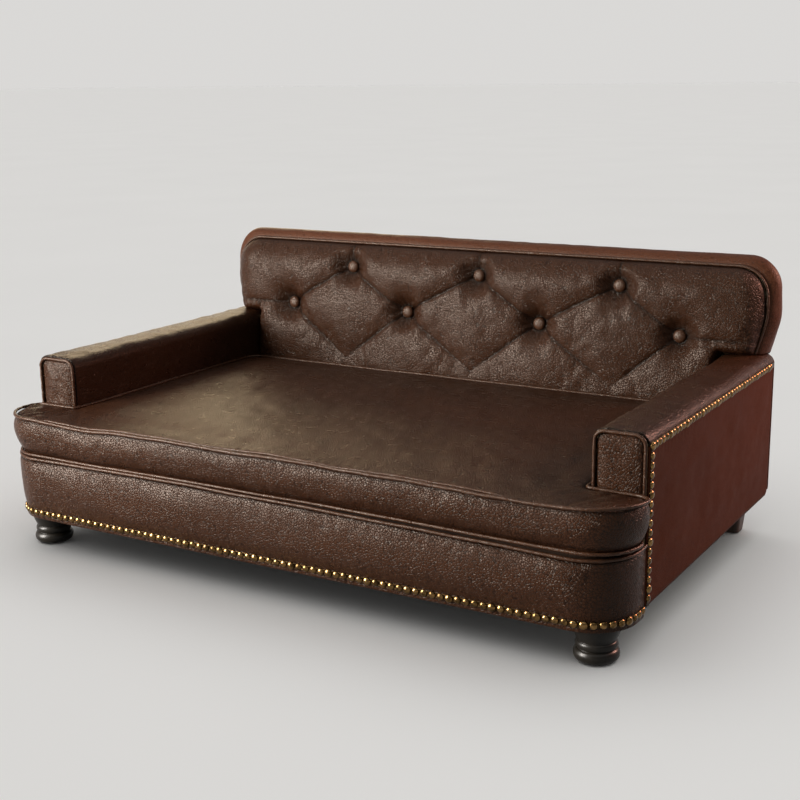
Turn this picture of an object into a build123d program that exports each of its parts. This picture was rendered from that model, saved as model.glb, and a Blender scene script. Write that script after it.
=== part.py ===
from build123d import *
import math
import os

# A low sofa for a large dog: wooden base box, box arms, button-tufted back, loose T-shaped seat cushion.
# Frame: X to the viewer's right, Y to the rear, Z up. The origin is on the floor, in the middle of the
# object's plan. Sizes are in millimetres.

# Overall sizes
side_width = 1020.0           # over the two side panels
arm_height = 287.0            # top of the arms
base_bottom = 62.0            # underside of the base box
deck_top = 150.0              # top of the seat deck
base_depth = 536.0            # front of the arms to the rear of the base
back_overhang = 23.0          # how far the upper back stands out behind the base
cushion_overhang = 100.0      # how far the cushion's front stands before the arms
front_shift = 3.35            # the cushion's bulge and welt beyond that line

# Sheet and cover thicknesses
leather = 3.0                 # faux leather with its backing
board = 12.0                  # plywood
fibreboard = 5.0
cloth = 0.8
deck_cloth = 1.2
welt_radius = 2.4
welt_sides = 8
touch_gap = 0.2               # between sewn and padded pieces that lie against each other
rest_gap = 0.3                # between the loose cushion and what it lies on
cut_over = 2.0                # overrun of a cut past the face that it opens

# Arms
arm_width = 75.0
arm_edge_round = 16.0
side_rear_round = 14.0
arm_face_round = 14.0
arm_face_swell = 3.0
arm_face_edge = 5.0           # from the side panel's outer face to the front face's welt
arm_board_front = 6.0         # the arm's boards start this far behind the arm's front
arm_foam_height = 14.0

# Front nose and skirt
nose_depth = 87.0             # nail row's face before the arms' front
nose_inset = 1.0              # to the side panel's outer face
nose_corner = 64.0
lip_drop = 12.0               # how far the skirt's lip hangs below the base box
skirt_straight = 17.0         # height of the flat hem that carries the nails
skirt_below_deck = 4.0
skirt_bulge = 11.0
skirt_top_reach = 8.0
skirt_bulge_shares = ((0.0, 0.0), (0.4, 0.9), (0.75, 1.0))   # of the puff's height, of its bulge
skirt_thickness = 10.0
lip_thickness = 5.0

# Tufted back
back_lean = 5.0               # degrees
seam_before_rear = 29.0       # the back's front seam, before the base's rear, at arm height
pad_thickness = 32.0
pad_crown_shares = ((0.0, 0.0), (0.42, 0.10), (0.78, 0.38), (1.0, 1.0))   # of the depth, of the inset
pad_crown_inset = 34.0
pad_foot_crown = 10.0
pad_welt_gap = 0.8            # to the welt round it
back_front_height = 138.0     # from the arm top to the seam, along the lean
back_middle_rise = 12.0       # of the band's top, above the seam's
back_rear_rise = 7.0
back_top_inset = 13.0         # from the side panels' outer faces
back_waist_inset = 9.0
back_foot_inset = 24.0
back_waist_share = 0.42       # of the front height
back_top_round = 50.0
back_waist_round = 90.0
band_swell = 12.0
band_rear_swell = 3.0
band_thickness = 4.0
band_middle_share = 0.6
rear_hem_rise = 8.0
back_board_margin = 16.0

# Buttons and creases
button_radius = 10.8
button_height = 5.5
button_pitch = 252.0
upper_row_shift = 15.0        # as sewn, the upper row sits this far to the right of the middle
lower_row_shift = 4.0
outer_button_inset = 134.0    # from the back's waist
upper_button_height = 93.0    # above the arm top, along the lean
lower_button_height = 21.0
tuck_share = 0.5              # of the drop to the seat, where the lowest creases end
crease_reach_share = 0.75     # of the button pitch, how far apart creased buttons stand at most
dimple_depth = 20.0
dimple_radius = 44.0
dimple_floor_margin = 1.0     # round the button
dimple_wall_shares = (0.3, 0.68)   # of the dimple's run and rise, where its wall bends
crease_width = 8.0
crease_depth = 5.0
edge_drop_share = 0.6         # of the pad's thickness, how far the outer creases fall at their ends
tie_radius = 0.8
tie_hole_radius = 1.2

# Seat cushion
cushion_side_height = 60.0
cushion_gap = 3.0             # to the arms
cushion_rear_gap = 20.0       # to the tufted pad, at arm height
ear_rear = 10.0               # ears' rear edge, before the arms' front
ear_reach = 6.0               # how far the ears stand out past the side panels
cushion_corner = 68.0
ear_rear_round = 20.0
ear_inner_round = 5.0
cushion_rear_round = 24.0
pull_in = 12.0                # how far the front edge draws in between the corners
pull_in_round = 15000.0
cushion_swell = 5.0
cushion_draw = 7.0            # how far the front and the ears' ends draw in at the lower seam
seam_chamfer = 5.0
cushion_foot_chamfer = 8.0
cushion_edge_crown = 3.0
cushion_edge_inset = 13.0
seat_crown = 8.0
seat_crown_margin = 70.0
seat_crown_slope = 130.0
seat_crown_round = 40.0
seat_crown_shares = ((0.0, 0.0), (0.35, 0.72), (1.0, 1.0))   # of the slope, of the crown
foam_margin = 14.0

# Zip
zip_end_margin = 52.0         # to the cushion's sides
zip_tape_height = 24.0
zip_tape_thickness = 1.0
zip_chain_height = 5.0
zip_chain_thickness = 1.6
slider_length = 12.0
slider_height = 9.0
slider_wall = 1.2
slider_clearance = 0.25
slider_end_margin = 10.0

# Nail trim
nail_pitch = 12.35
strip_width = 8.0
strip_thickness = 0.8
small_head_radius = 5.3
small_head_height = 2.4
small_head_sides = 6
nail_head_radius = 5.9
nail_head_height = 3.6
nail_head_sides = 8
head_taper = 38.0             # degrees
centre_share = 0.5            # of a pitch, from the front's middle to the first head
real_nail_every = 5
first_real_nail = 2           # small heads between the middle of the front and the first real nail
nails_above_lip = 11.0
side_row_below_top = 16.0
side_column_inset = 6.0

# Feet
glide_thickness = 2.0
glide_radius = 12.0
front_foot_inset_x = 47.0     # from the side panel's outer face
front_foot_inset_y = 45.0     # behind the nail row's face
foot_top_radius = 32.0
foot_flare_radius = 31.0
foot_waist_radius = 25.4
foot_bead_radius = 26.9
foot_bun_radius = 29.4
foot_shoulder_radius = 27.2
foot_toe_radius = 24.5
foot_flare_bend_share = 0.3
foot_flare_height = 44.0
foot_bead_height = 23.5
foot_bead_half_height = 5.5
foot_bun_height = 10.5
foot_toe_height = 4.0
block_foot_size = 46.0
block_foot_taper = 12.0
block_foot_round = 9.0
rear_foot_inset_x = 50.0
rear_foot_inset_y = 25.0      # before the base's rear face
bolt_radius = 4.0
bolt_grip = 26.0              # length in the foot
bolt_clearance = 0.2
tee_nut_radius = 9.0
tee_nut_barrel_radius = 5.2
tee_nut_flange = 1.6
tee_nut_height = 9.0
block_size = 50.0
block_clearance = 4.0         # to the deck cleats
cleat_size = 20.0
rail_thickness = 18.0

# Places that follow from the sizes
half_width = side_width / 2
back_depth = base_depth + back_overhang
seam_depth = base_depth - seam_before_rear
total_depth = cushion_overhang + front_shift + back_depth
arm_front = -total_depth / 2 + cushion_overhang + front_shift
side_inner = half_width - leather              # outer face of the side boards
box_inner = side_inner - board                 # inner face of the side boards
arm_inner = half_width - arm_width             # inner face of the arm's leather
arm_board_inner = arm_inner + leather + touch_gap
arm_top_of_boards = arm_height - leather - touch_gap - arm_foam_height
deck_underside = deck_top - board
base_rear = arm_front + base_depth
board_rear = base_rear - leather
board_front = board_rear - board
nose_half_width = half_width - nose_inset
nose_front = arm_front - nose_depth
skirt_bottom = base_bottom - lip_drop
skirt_top = deck_top - skirt_below_deck
apron_inset = skirt_thickness + touch_gap
seat_level = deck_top + deck_cloth + rest_gap
nail_row = arm_height - side_row_below_top
nail_line = skirt_bottom + nails_above_lip
foot_height = base_bottom - cloth
block_top = deck_underside - cleat_size - block_clearance
back_top_half_width = half_width - back_top_inset
back_waist_half_width = half_width - back_waist_inset
back_foot_half_width = half_width - back_foot_inset
outer_button = back_waist_half_width - outer_button_inset
back_middle_height = back_front_height + back_middle_rise
back_rear_height = back_front_height + back_rear_rise
back_waist_height = back_front_height * back_waist_share
cushion_rear = seam_depth - pad_thickness - cushion_rear_gap
ear_half_width = half_width + ear_reach
lean = math.radians(back_lean)
seam_plane = Plane(
    origin=(0, arm_front + seam_depth, arm_height + rest_gap),
    x_dir=(1, 0, 0),
    z_dir=(0, -math.cos(lean), math.sin(lean)),
)

os.makedirs("parts", exist_ok=True)


def box_between(low, high):
    """Box between two opposite corners."""
    size = [high[i] - low[i] for i in range(3)]
    middle = [(high[i] + low[i]) / 2 for i in range(3)]
    return Pos(*middle) * Box(*size)


def both_sides(shape):
    """A piece on the right side and its mirror image on the left."""
    return shape, mirror(shape, about=Plane.YZ)


def save(name, *solids):
    """Write one node: a solid, or a group of separate solids."""
    pieces = [solid for shape in solids for solid in shape.solids()]
    node = pieces[0] if len(pieces) == 1 else Compound(children=pieces)
    node.label = name
    export_step(node, os.path.join("parts", name + ".step"))


def prism(face, low, high):
    """A flat outline drawn at height zero, raised between two heights."""
    return Pos(0, 0, low) * extrude(face, amount=high - low, dir=(0, 0, 1))


def rod(start, end, radius):
    """Round rod between two points."""
    axis = Vector(*end) - Vector(*start)
    return extrude(Plane(origin=start, z_dir=axis) * Circle(radius), amount=axis.length)


def piping(path):
    """Welt cord along a path of lines and arcs."""
    start = Plane(origin=path @ 0, z_dir=path % 0)
    return sweep(start * RegularPolygon(welt_radius, welt_sides), path=path)


# Nose of the base, in front of the arms

def nose_path(grow, back, end_grow=0.0):
    """The nose's plan: along the left side, round the front and back along the right side."""
    front = nose_front - grow
    end = nose_half_width + end_grow
    reach = nose_half_width + grow
    corners = [(-end, back), (-reach, front), (reach, front), (end, back)]
    return FilletPolyline(*corners, radius=nose_corner + grow)


def inner_nose_path(inset, back):
    """The same plan, drawn in by an even inset for the boards behind the skirt."""
    reach = nose_half_width - inset
    front = nose_front + inset
    return FilletPolyline(
        (-reach, back), (-reach, front), (reach, front), (reach, back), radius=nose_corner - inset
    )


def closed_face(path):
    return make_face(Curve() + [path, Line(path @ 1, path @ 0)])


def nose_face(grow, back, end_grow=0.0):
    return closed_face(nose_path(grow, back, end_grow))


def inner_nose_face(inset, back):
    return closed_face(inner_nose_path(inset, back))


skirt_back = arm_front - rest_gap
skirt_flat_top = skirt_bottom + skirt_straight
skirt_rise = skirt_top - skirt_flat_top
skirt_sections = [
    Pos(0, 0, skirt_flat_top + skirt_rise * height_share) * nose_face(skirt_bulge * bulge_share, skirt_back)
    for height_share, bulge_share in skirt_bulge_shares
]
skirt_sections.append(Pos(0, 0, skirt_top) * nose_face(skirt_top_reach, skirt_back))
skirt_body = prism(nose_face(0, skirt_back), skirt_bottom, skirt_flat_top) + loft(skirt_sections)
skirt_hollow = prism(
    inner_nose_face(skirt_thickness, skirt_back + cut_over), base_bottom, skirt_top + cut_over)
lip_hollow = prism(
    inner_nose_face(lip_thickness, skirt_back + cut_over), skirt_bottom - cut_over, base_bottom)
save("skirt_cover", skirt_body - skirt_hollow - lip_hollow)

nose_skin = inner_nose_face(apron_inset, arm_front)
apron_hollow = inner_nose_face(apron_inset + fibreboard, arm_front + cut_over)
save("nose_apron", prism(nose_skin, base_bottom, deck_underside)
     - prism(apron_hollow, base_bottom - cut_over, deck_underside + cut_over))
floor_face = inner_nose_face(apron_inset + fibreboard + touch_gap, arm_front)
nose_floor = prism(floor_face, base_bottom, base_bottom + board)

welt_height = skirt_top + welt_radius + touch_gap / 2
skirt_welt_path = nose_path(skirt_top_reach - welt_radius - touch_gap, skirt_back)
save("skirt_welt", piping(Pos(0, 0, welt_height) * skirt_welt_path))

# Base box

side_outline = Plane.YZ * make_face(FilletPolyline(
    (arm_front + arm_board_front, base_bottom), (board_rear, base_bottom),
    (board_rear, arm_top_of_boards), (arm_front + arm_board_front, arm_top_of_boards),
    radius=[0, side_rear_round - leather, 0, 0], close=True,
))
for name, shape in zip(("right", "left"), both_sides(
        Pos(box_inner, 0, 0) * extrude(side_outline, amount=board, dir=(1, 0, 0)))):
    save(name + "_side_board", shape)

wood_rear_low = base_bottom + side_rear_round
back_board_top = arm_height + back_front_height - back_board_margin
upper_board_half = back_top_half_width - back_board_margin
back_outline = make_face(FilletPolyline(
    (-box_inner, wood_rear_low), (box_inner, wood_rear_low), (box_inner, arm_top_of_boards),
    (upper_board_half, arm_top_of_boards), (upper_board_half, back_board_top),
    (-upper_board_half, back_board_top), (-upper_board_half, arm_top_of_boards),
    (-box_inner, arm_top_of_boards),
    radius=[0, 0, 0, 0, back_top_round - back_board_margin, back_top_round - back_board_margin, 0, 0],
    close=True,
))
back_front_plane = Plane(origin=(0, board_front, 0), x_dir=(1, 0, 0), z_dir=(0, -1, 0))
back_board_solid = extrude(back_front_plane * back_outline, amount=board, dir=(0, 1, 0))

deck_nose = prism(nose_skin, deck_underside, deck_top)
deck_rear = box_between((-box_inner, arm_front, deck_underside), (box_inner, board_front, deck_top))
save("seat_deck", deck_nose + deck_rear)
save("centre_rail", box_between(
    (-rail_thickness / 2, arm_front, base_bottom), (rail_thickness / 2, board_front, deck_underside)))
for name, shape in zip(("right", "left"), both_sides(box_between(
        (box_inner - cleat_size, arm_front, deck_underside - cleat_size),
        (box_inner, board_front, deck_underside)))):
    save(name + "_deck_cleat", shape)
cleat_half = box_inner - cleat_size
rear_cleats = [
    box_between((rail_thickness / 2, board_front - cleat_size, deck_underside - cleat_size),
                (cleat_half, board_front, deck_underside)),
]
rear_cleats.append(mirror(rear_cleats[0], about=Plane.YZ))
save("rear_deck_cleats", *rear_cleats)

deck_cover_nose = prism(inner_nose_face(apron_inset, arm_front - touch_gap), deck_top, deck_top + deck_cloth)
deck_cover_rear = box_between(
    (-arm_inner + touch_gap, arm_front - touch_gap, deck_top),
    (arm_inner - touch_gap, arm_front + cushion_rear, deck_top + deck_cloth))
save("deck_cover", deck_cover_nose + deck_cover_rear)

# Feet, with the blocks, bolts and tee nuts that hold them

front_foot_x = half_width - front_foot_inset_x
front_foot_y = nose_front + front_foot_inset_y
rear_foot_x = half_width - rear_foot_inset_x
rear_foot_y = base_rear - rear_foot_inset_y
foot_places = {
    "front_right": (front_foot_x, front_foot_y),
    "front_left": (-front_foot_x, front_foot_y),
    "rear_right": (rear_foot_x, rear_foot_y),
    "rear_left": (-rear_foot_x, rear_foot_y),
}
foot_bottom = glide_thickness
bolt_bottom = foot_height - bolt_grip
bolt_length = block_top + tee_nut_flange - bolt_bottom


def turned_foot():
    """Turned bun foot: flared top, shallow ring at the waist and a wide bun."""
    bead_low = foot_bead_height - foot_bead_half_height
    bead_high = foot_bead_height + foot_bead_half_height
    flare_run = foot_flare_radius - foot_waist_radius
    flare = ThreePointArc(
        (foot_flare_radius, foot_flare_height),
        (foot_waist_radius + flare_run * foot_flare_bend_share, (foot_flare_height + bead_high) / 2),
        (foot_waist_radius, bead_high),
    )
    bead = ThreePointArc(
        (foot_waist_radius, bead_high), (foot_bead_radius, foot_bead_height), (foot_waist_radius, bead_low)
    )
    bun = ThreePointArc(
        (foot_waist_radius, bead_low), (foot_bun_radius, foot_bun_height),
        (foot_shoulder_radius, foot_toe_height),
    )
    toe = Line((foot_shoulder_radius, foot_toe_height), (foot_toe_radius, foot_bottom))
    outline = Curve() + [
        Line((0, foot_bottom), (0, foot_height)),
        Line((0, foot_height), (foot_top_radius, foot_height)),
        Line((foot_top_radius, foot_height), (foot_flare_radius, foot_flare_height)),
        flare, bead, bun, toe,
        Line((foot_toe_radius, foot_bottom), (0, foot_bottom)),
    ]
    return revolve(Plane.XZ * make_face(outline), axis=Axis.Z)


def block_foot():
    """Plain block foot that narrows a little towards the floor."""
    low = RectangleRounded(
        block_foot_size - block_foot_taper, block_foot_size - block_foot_taper, block_foot_round)
    high = RectangleRounded(block_foot_size, block_foot_size, block_foot_round)
    return loft([Pos(0, 0, foot_bottom) * low, Pos(0, 0, foot_height) * high], ruled=True)


bolt_hole = Pos(0, 0, bolt_bottom) * Cylinder(
    bolt_radius + bolt_clearance, bolt_length + cut_over, align=(Align.CENTER, Align.CENTER, Align.MIN))
bolt = Pos(0, 0, bolt_bottom) * Cylinder(
    bolt_radius, bolt_length, align=(Align.CENTER, Align.CENTER, Align.MIN))
nut_outline = Curve() + [Polyline(
    (bolt_radius + bolt_clearance, 0), (tee_nut_barrel_radius, 0),
    (tee_nut_barrel_radius, tee_nut_height - tee_nut_flange),
    (tee_nut_radius, tee_nut_height - tee_nut_flange),
    (tee_nut_radius, tee_nut_height), (bolt_radius + bolt_clearance, tee_nut_height), close=True)]
before_back_board = box_between((-box_inner, arm_front, base_bottom), (box_inner, board_front, block_top))
bolts, nuts, glides, feet_holes = [], [], [], []
for place, (x, y) in foot_places.items():
    is_front = place.startswith("front")
    foot = turned_foot() if is_front else block_foot()
    save(place + "_foot", Pos(x, y, 0) * (foot - bolt_hole))
    bolts.append(Pos(x, y, 0) * bolt)
    glides.append(Pos(x, y, 0) * Cylinder(
        glide_radius, glide_thickness, align=(Align.CENTER, Align.CENTER, Align.MIN)))
    block_low = base_bottom + board if is_front else base_bottom
    barrel_room = Pos(0, 0, block_top - tee_nut_height) * Cylinder(
        tee_nut_barrel_radius + touch_gap, tee_nut_height, align=(Align.CENTER, Align.CENTER, Align.MIN))
    nut = Pos(0, 0, block_top - tee_nut_height + tee_nut_flange) * revolve(
        Plane.XZ * make_face(nut_outline), axis=Axis.Z)
    half_block = block_size / 2
    block = box_between((-half_block, -half_block, block_low), (half_block, half_block, block_top))
    block = Pos(x, y, 0) * (block - bolt_hole - barrel_room)
    block_room = prism(floor_face, block_low, block_top) if is_front else before_back_board
    save("corner_block_" + place, block & block_room)
    nuts.append(Pos(x, y, 0) * nut)
    feet_holes.append(Pos(x, y, 0) * bolt_hole)
save("foot_bolts", *bolts)
save("tee_nuts", *nuts)
save("foot_glides", *glides)
save("nose_floor", nose_floor - feet_holes[0] - feet_holes[1])

dust_rear = box_between(
    (-box_inner, arm_front, foot_height), (box_inner, board_rear - side_rear_round, base_bottom))
dust_nose = prism(floor_face, foot_height, base_bottom)
dust_cover = dust_nose + dust_rear
for hole in feet_holes:
    dust_cover -= hole
save("dust_cover", dust_cover)

# Side panels, arms and their covers

panel_outline = Plane.YZ * make_face(FilletPolyline(
    (arm_front, base_bottom), (board_rear, base_bottom), (board_rear, nail_row), (arm_front, nail_row),
    radius=[0, side_rear_round - leather, 0, 0], close=True,
))
side_panel = Pos(side_inner, 0, 0) * extrude(panel_outline, amount=leather, dir=(1, 0, 0))

inner_board = box_between(
    (arm_board_inner, arm_front + arm_board_front, deck_top),
    (arm_board_inner + board, board_front, arm_top_of_boards - board))
top_board = box_between(
    (arm_board_inner, arm_front + arm_board_front, arm_top_of_boards - board),
    (box_inner, board_front, arm_top_of_boards))
front_board = box_between(
    (arm_board_inner + board, arm_front + arm_board_front, deck_top),
    (box_inner, arm_front + arm_board_front + board, arm_top_of_boards - board))
foam_round = arm_edge_round - leather - touch_gap
arm_foam_face = make_face(FilletPolyline(
    (arm_board_inner, arm_top_of_boards), (side_inner - touch_gap, arm_top_of_boards),
    (side_inner - touch_gap, arm_height - leather - touch_gap),
    (arm_board_inner, arm_height - leather - touch_gap),
    radius=[0, 0, foam_round, foam_round], close=True,
))
arm_plane = Plane(origin=(0, arm_front + arm_board_front, 0), x_dir=(1, 0, 0), z_dir=(0, -1, 0))
arm_foam = extrude(arm_plane * arm_foam_face, amount=board_front - arm_front - arm_board_front, dir=(0, 1, 0))

cover_outer = make_face(FilletPolyline(
    (arm_inner, deck_top), (half_width, deck_top), (half_width, arm_height), (arm_inner, arm_height),
    radius=[0, 0, arm_edge_round, arm_edge_round], close=True,
))
cover_inner_round = arm_edge_round - leather
cover_inner = make_face(FilletPolyline(
    (arm_inner + leather, deck_top - cut_over), (side_inner, deck_top - cut_over),
    (side_inner, arm_height - leather), (arm_inner + leather, arm_height - leather),
    radius=[0, 0, cover_inner_round, cover_inner_round], close=True,
))
cover_plane = Plane(origin=(0, arm_front, 0), x_dir=(1, 0, 0), z_dir=(0, -1, 0))
cover_flap = box_between(
    (side_inner - cut_over, arm_front - cut_over, deck_top - cut_over),
    (half_width + cut_over, base_rear, nail_row))
arm_cover = (
    extrude(cover_plane * cover_outer, amount=board_rear - arm_front, dir=(0, 1, 0))
    - extrude(cover_plane * cover_inner, amount=board_rear - arm_front, dir=(0, 1, 0))
    - cover_flap
)
arm_cover -= box_between(
    (arm_inner - cut_over, board_front - touch_gap, deck_top - cut_over),
    (upper_board_half + touch_gap, base_rear, arm_height + cut_over))

face_inner_x = arm_inner + leather
face_outer_x = half_width - arm_face_edge
face_low = deck_top + deck_cloth + welt_radius
face_high = arm_height - welt_radius


def arm_face_path(inset):
    """Open path up the inner edge, over the top and down the outer edge of the arm's front face."""
    return FilletPolyline(
        (face_inner_x + inset, face_low), (face_inner_x + inset, face_high - inset),
        (face_outer_x - inset, face_high - inset), (face_outer_x - inset, face_low),
        radius=arm_face_round - inset,
    )


face_back = arm_front + arm_board_front
face_plane = Plane(origin=(0, face_back, 0), x_dir=(1, 0, 0), z_dir=(0, -1, 0))
panel_inset = welt_radius + touch_gap
panel_depth = arm_board_front + arm_face_swell / 2
arm_front_panel = extrude(face_plane * closed_face(arm_face_path(panel_inset)), amount=panel_depth)
front_edges = arm_front_panel.faces().sort_by(Axis.Y)[0].edges()
arm_front_panel = fillet(front_edges, arm_face_swell)
welt_plane = Plane(origin=(0, arm_front - welt_radius - touch_gap, 0), x_dir=(1, 0, 0), z_dir=(0, -1, 0))
arm_front_welt = piping(welt_plane * arm_face_path(0))

arm_pieces = {
    "side_panel": side_panel, "arm_inner_board": inner_board, "arm_top_board": top_board,
    "arm_front_board": front_board, "arm_foam": arm_foam, "arm_cover": arm_cover,
    "arm_front_panel": arm_front_panel, "arm_front_welt": arm_front_welt,
}
for piece_name, piece in arm_pieces.items():
    for side_name, shape in zip(("right_", "left_"), both_sides(piece)):
        save(side_name + piece_name, shape)

# Back

def back_outline_path(inset, height, swell, foot_height):
    """Half-open outline of the back's face: up the right side, over the top and down the left side."""
    foot = back_foot_half_width + swell - inset
    waist = back_waist_half_width + swell - inset
    top = back_top_half_width + swell - inset
    return FilletPolyline(
        (foot, foot_height), (waist, back_waist_height), (top, height - inset),
        (-top, height - inset), (-waist, back_waist_height), (-foot, foot_height),
        radius=[back_waist_round, back_top_round - inset, back_top_round - inset, back_waist_round],
    )


def back_face(inset, height, swell=0.0):
    return closed_face(back_outline_path(inset, height, swell, inset))


upper_rear = arm_front + back_depth - leather
rear_plane = Plane(origin=(0, upper_rear, arm_height + rest_gap), x_dir=(1, 0, 0), z_dir=(0, -1, 0))
middle_depth = seam_depth + (back_depth - leather - seam_depth) * band_middle_share
middle_plane = Plane(
    origin=(0, arm_front + middle_depth, arm_height + rest_gap), x_dir=(1, 0, 0), z_dir=(0, -1, 0))


def band_body(inset):
    """The back's thickness from its front seam to its rear, swelling between them."""
    return loft([
        seam_plane * back_face(inset, back_front_height),
        middle_plane * back_face(inset, back_middle_height, band_swell),
        rear_plane * back_face(inset, back_rear_height, band_rear_swell),
    ])


band = band_body(0.0) - band_body(band_thickness)
band_low = arm_height - cut_over
band_floor_top = arm_height + rest_gap + band_thickness + cut_over
seat_gap = box_between(
    (-arm_inner, arm_front + seam_depth - pad_thickness, band_low),
    (arm_inner, board_rear + touch_gap, band_floor_top))
board_gap = box_between(
    (-upper_board_half - touch_gap, board_front - touch_gap, band_low),
    (upper_board_half + touch_gap, board_rear + touch_gap, band_floor_top))
save("back_band", band - seat_gap - board_gap)
save("upper_rear_panel", extrude(
    rear_plane * back_face(0.0, back_rear_height, band_rear_swell), amount=leather, dir=(0, 1, 0)))

back_welt_inset = welt_radius + touch_gap
welt_lift = Pos(0, 0, welt_radius + touch_gap)
back_welt_path = back_outline_path(back_welt_inset, back_front_height, 0.0, welt_radius)
save("back_welt", piping(seam_plane * welt_lift * back_welt_path))

pad_inset = back_welt_inset + welt_radius + pad_welt_gap


def crown_section(depth_share, inset_share):
    inset = pad_inset + pad_crown_inset * inset_share
    foot_rise = touch_gap + pad_foot_crown * inset_share
    outline = back_outline_path(inset, back_front_height, 0.0, foot_rise)
    return Pos(0, 0, pad_thickness * depth_share) * closed_face(outline)


pad_body = loft([crown_section(depth_share, inset_share) for depth_share, inset_share in pad_crown_shares])
seat_drop = (arm_height + rest_gap - deck_top - deck_cloth - rest_gap) / math.cos(lean)
pad_lower_half = arm_inner - touch_gap
pad_body += box_between(
    (-pad_lower_half, -seat_drop, 0), (pad_lower_half, pad_inset + pad_crown_inset, pad_thickness))

upper_xs = (-button_pitch, 0.0, button_pitch)
upper_buttons = [(upper_row_shift + x, upper_button_height) for x in upper_xs]
lower_xs = (-outer_button, -button_pitch / 2, button_pitch / 2, outer_button)
lower_buttons = [(lower_row_shift + x, lower_button_height) for x in lower_xs]
tuck_height = -seat_drop * tuck_share
button_seat = pad_thickness - dimple_depth
dimple_mouth = pad_thickness + cut_over
dimple_floor = button_radius + dimple_floor_margin
wall_run_share, wall_rise_share = dimple_wall_shares
dimple_bend = (
    dimple_floor + (dimple_radius - dimple_floor) * wall_run_share,
    button_seat + (dimple_mouth - button_seat) * wall_rise_share,
)
dimple_outline = Curve() + [
    Line((0, button_seat), (dimple_floor, button_seat)),
    ThreePointArc((dimple_floor, button_seat), dimple_bend, (dimple_radius, dimple_mouth)),
    Line((dimple_radius, dimple_mouth), (0, dimple_mouth)),
    Line((0, dimple_mouth), (0, button_seat)),
]
dimple = revolve(Plane.XZ * make_face(dimple_outline), axis=Axis.Z)


def crease(start, end, end_drop=0.0):
    """V-shaped crease cut along a line on the pad's face; it falls at its end to follow the crown."""
    first = Vector(start[0], start[1], pad_thickness)
    last = Vector(end[0], end[1], pad_thickness - end_drop)
    along = last - first
    across = Plane(origin=first, x_dir=(0, 0, 1), z_dir=along)
    wedge = make_face(Polyline(
        (-crease_depth, 0), (crease_depth, -crease_width), (crease_depth, crease_width), close=True))
    return extrude(across * wedge, amount=along.length)


edge_drop = pad_thickness * edge_drop_share
crease_reach = button_pitch * crease_reach_share
creases = []
for upper in upper_buttons:
    creases.append(crease(upper, (upper[0], back_front_height - pad_inset), edge_drop))
    for lower in lower_buttons:
        if abs(upper[0] - lower[0]) < crease_reach:
            creases.append(crease(upper, lower))
            creases.append(crease(lower, (upper[0], tuck_height)))
for side in (-1, 1):
    edge_x = side * (back_waist_half_width - pad_inset)
    outermost = (lower_row_shift + side * outer_button, lower_button_height)
    creases.append(crease(outermost, (edge_x, lower_button_height), edge_drop))

tufted_pad = pad_body
for cut in creases:
    tufted_pad -= cut
tie_holes, ties, buttons = [], [], []
dome_radius = (button_radius ** 2 + button_height ** 2) / (2 * button_height)
dome_angle = math.asin(button_radius / dome_radius) / 2
dome_bend = (dome_radius * math.sin(dome_angle), button_height - dome_radius * (1 - math.cos(dome_angle)))
button_outline = Curve() + [
    Line((0, 0), (button_radius, 0)),
    ThreePointArc((button_radius, 0), dome_bend, (0, button_height)),
    Line((0, button_height), (0, 0)),
]
button_body = revolve(Plane.XZ * make_face(button_outline), axis=Axis.Z)
for x, y in upper_buttons + lower_buttons:
    tufted_pad -= Pos(x, y, 0) * dimple
    buttons.append(seam_plane * Pos(x, y, button_seat) * button_body)
    seat = (seam_plane * Pos(x, y, button_seat)).position
    ties.append(rod((x, seat.Y + touch_gap, seat.Z), (x, board_rear, seat.Z), tie_radius))
    tie_holes.append(rod((x, seat.Y - cut_over, seat.Z), (x, base_rear, seat.Z), tie_hole_radius))
tufted_pad = seam_plane * tufted_pad
for hole in tie_holes:
    tufted_pad -= hole
    back_board_solid -= hole
save("tufted_back_pad", tufted_pad)
save("back_buttons", *buttons)
save("button_ties", *ties)
save("back_board", back_board_solid)

# Foam between the pad and the board, and behind the board

foam_inset = band_thickness + touch_gap
foam_upper = extrude(
    seam_plane * back_face(foam_inset, back_front_height), amount=board_rear - arm_front, dir=(0, 1, 0))
foam_lower = box_between(
    (-pad_lower_half, arm_front, deck_top + deck_cloth),
    (pad_lower_half, board_front, arm_height + rest_gap + foam_inset))
behind_seam = seam_plane * box_between((-half_width, -arm_height, -back_depth), (half_width, arm_height, 0))
before_board = box_between((-half_width, arm_front, 0), (half_width, board_front, 2 * arm_height))
foam = (foam_upper + foam_lower) & behind_seam & before_board
for hole in tie_holes:
    foam -= hole
save("back_foam", foam)
rear_foam_depth = upper_rear - board_rear - touch_gap
save("back_rear_foam", extrude(
    rear_plane * back_face(foam_inset, back_rear_height), amount=rear_foam_depth, dir=(0, -1, 0)))

# Leather over the rear of the base


def rear_wrap_face(grow):
    """Section of the base's rear, with its rounded lower edge."""
    front = board_rear - side_rear_round
    rear = board_rear + grow
    return Plane.YZ * make_face(FilletPolyline(
        (front, base_bottom), (rear, base_bottom), (rear, arm_height), (front, arm_height),
        radius=[0, side_rear_round - leather + grow, 0, 0], close=True))


rear_face = make_face(FilletPolyline(
    (-half_width, base_bottom + rear_hem_rise), (half_width, base_bottom + rear_hem_rise),
    (half_width, arm_height), (-half_width, arm_height),
    radius=[0, 0, arm_edge_round, arm_edge_round], close=True))
rear_region = extrude(Plane(origin=(0, base_rear, 0), x_dir=(1, 0, 0), z_dir=(0, -1, 0)) * rear_face,
                      amount=side_rear_round)
rear_wrap = extrude(rear_wrap_face(leather), amount=half_width, both=True)
rear_hollow = extrude(rear_wrap_face(0.0), amount=half_width + cut_over, both=True)
save("lower_rear_panel", (rear_wrap - rear_hollow) & rear_region)

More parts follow.
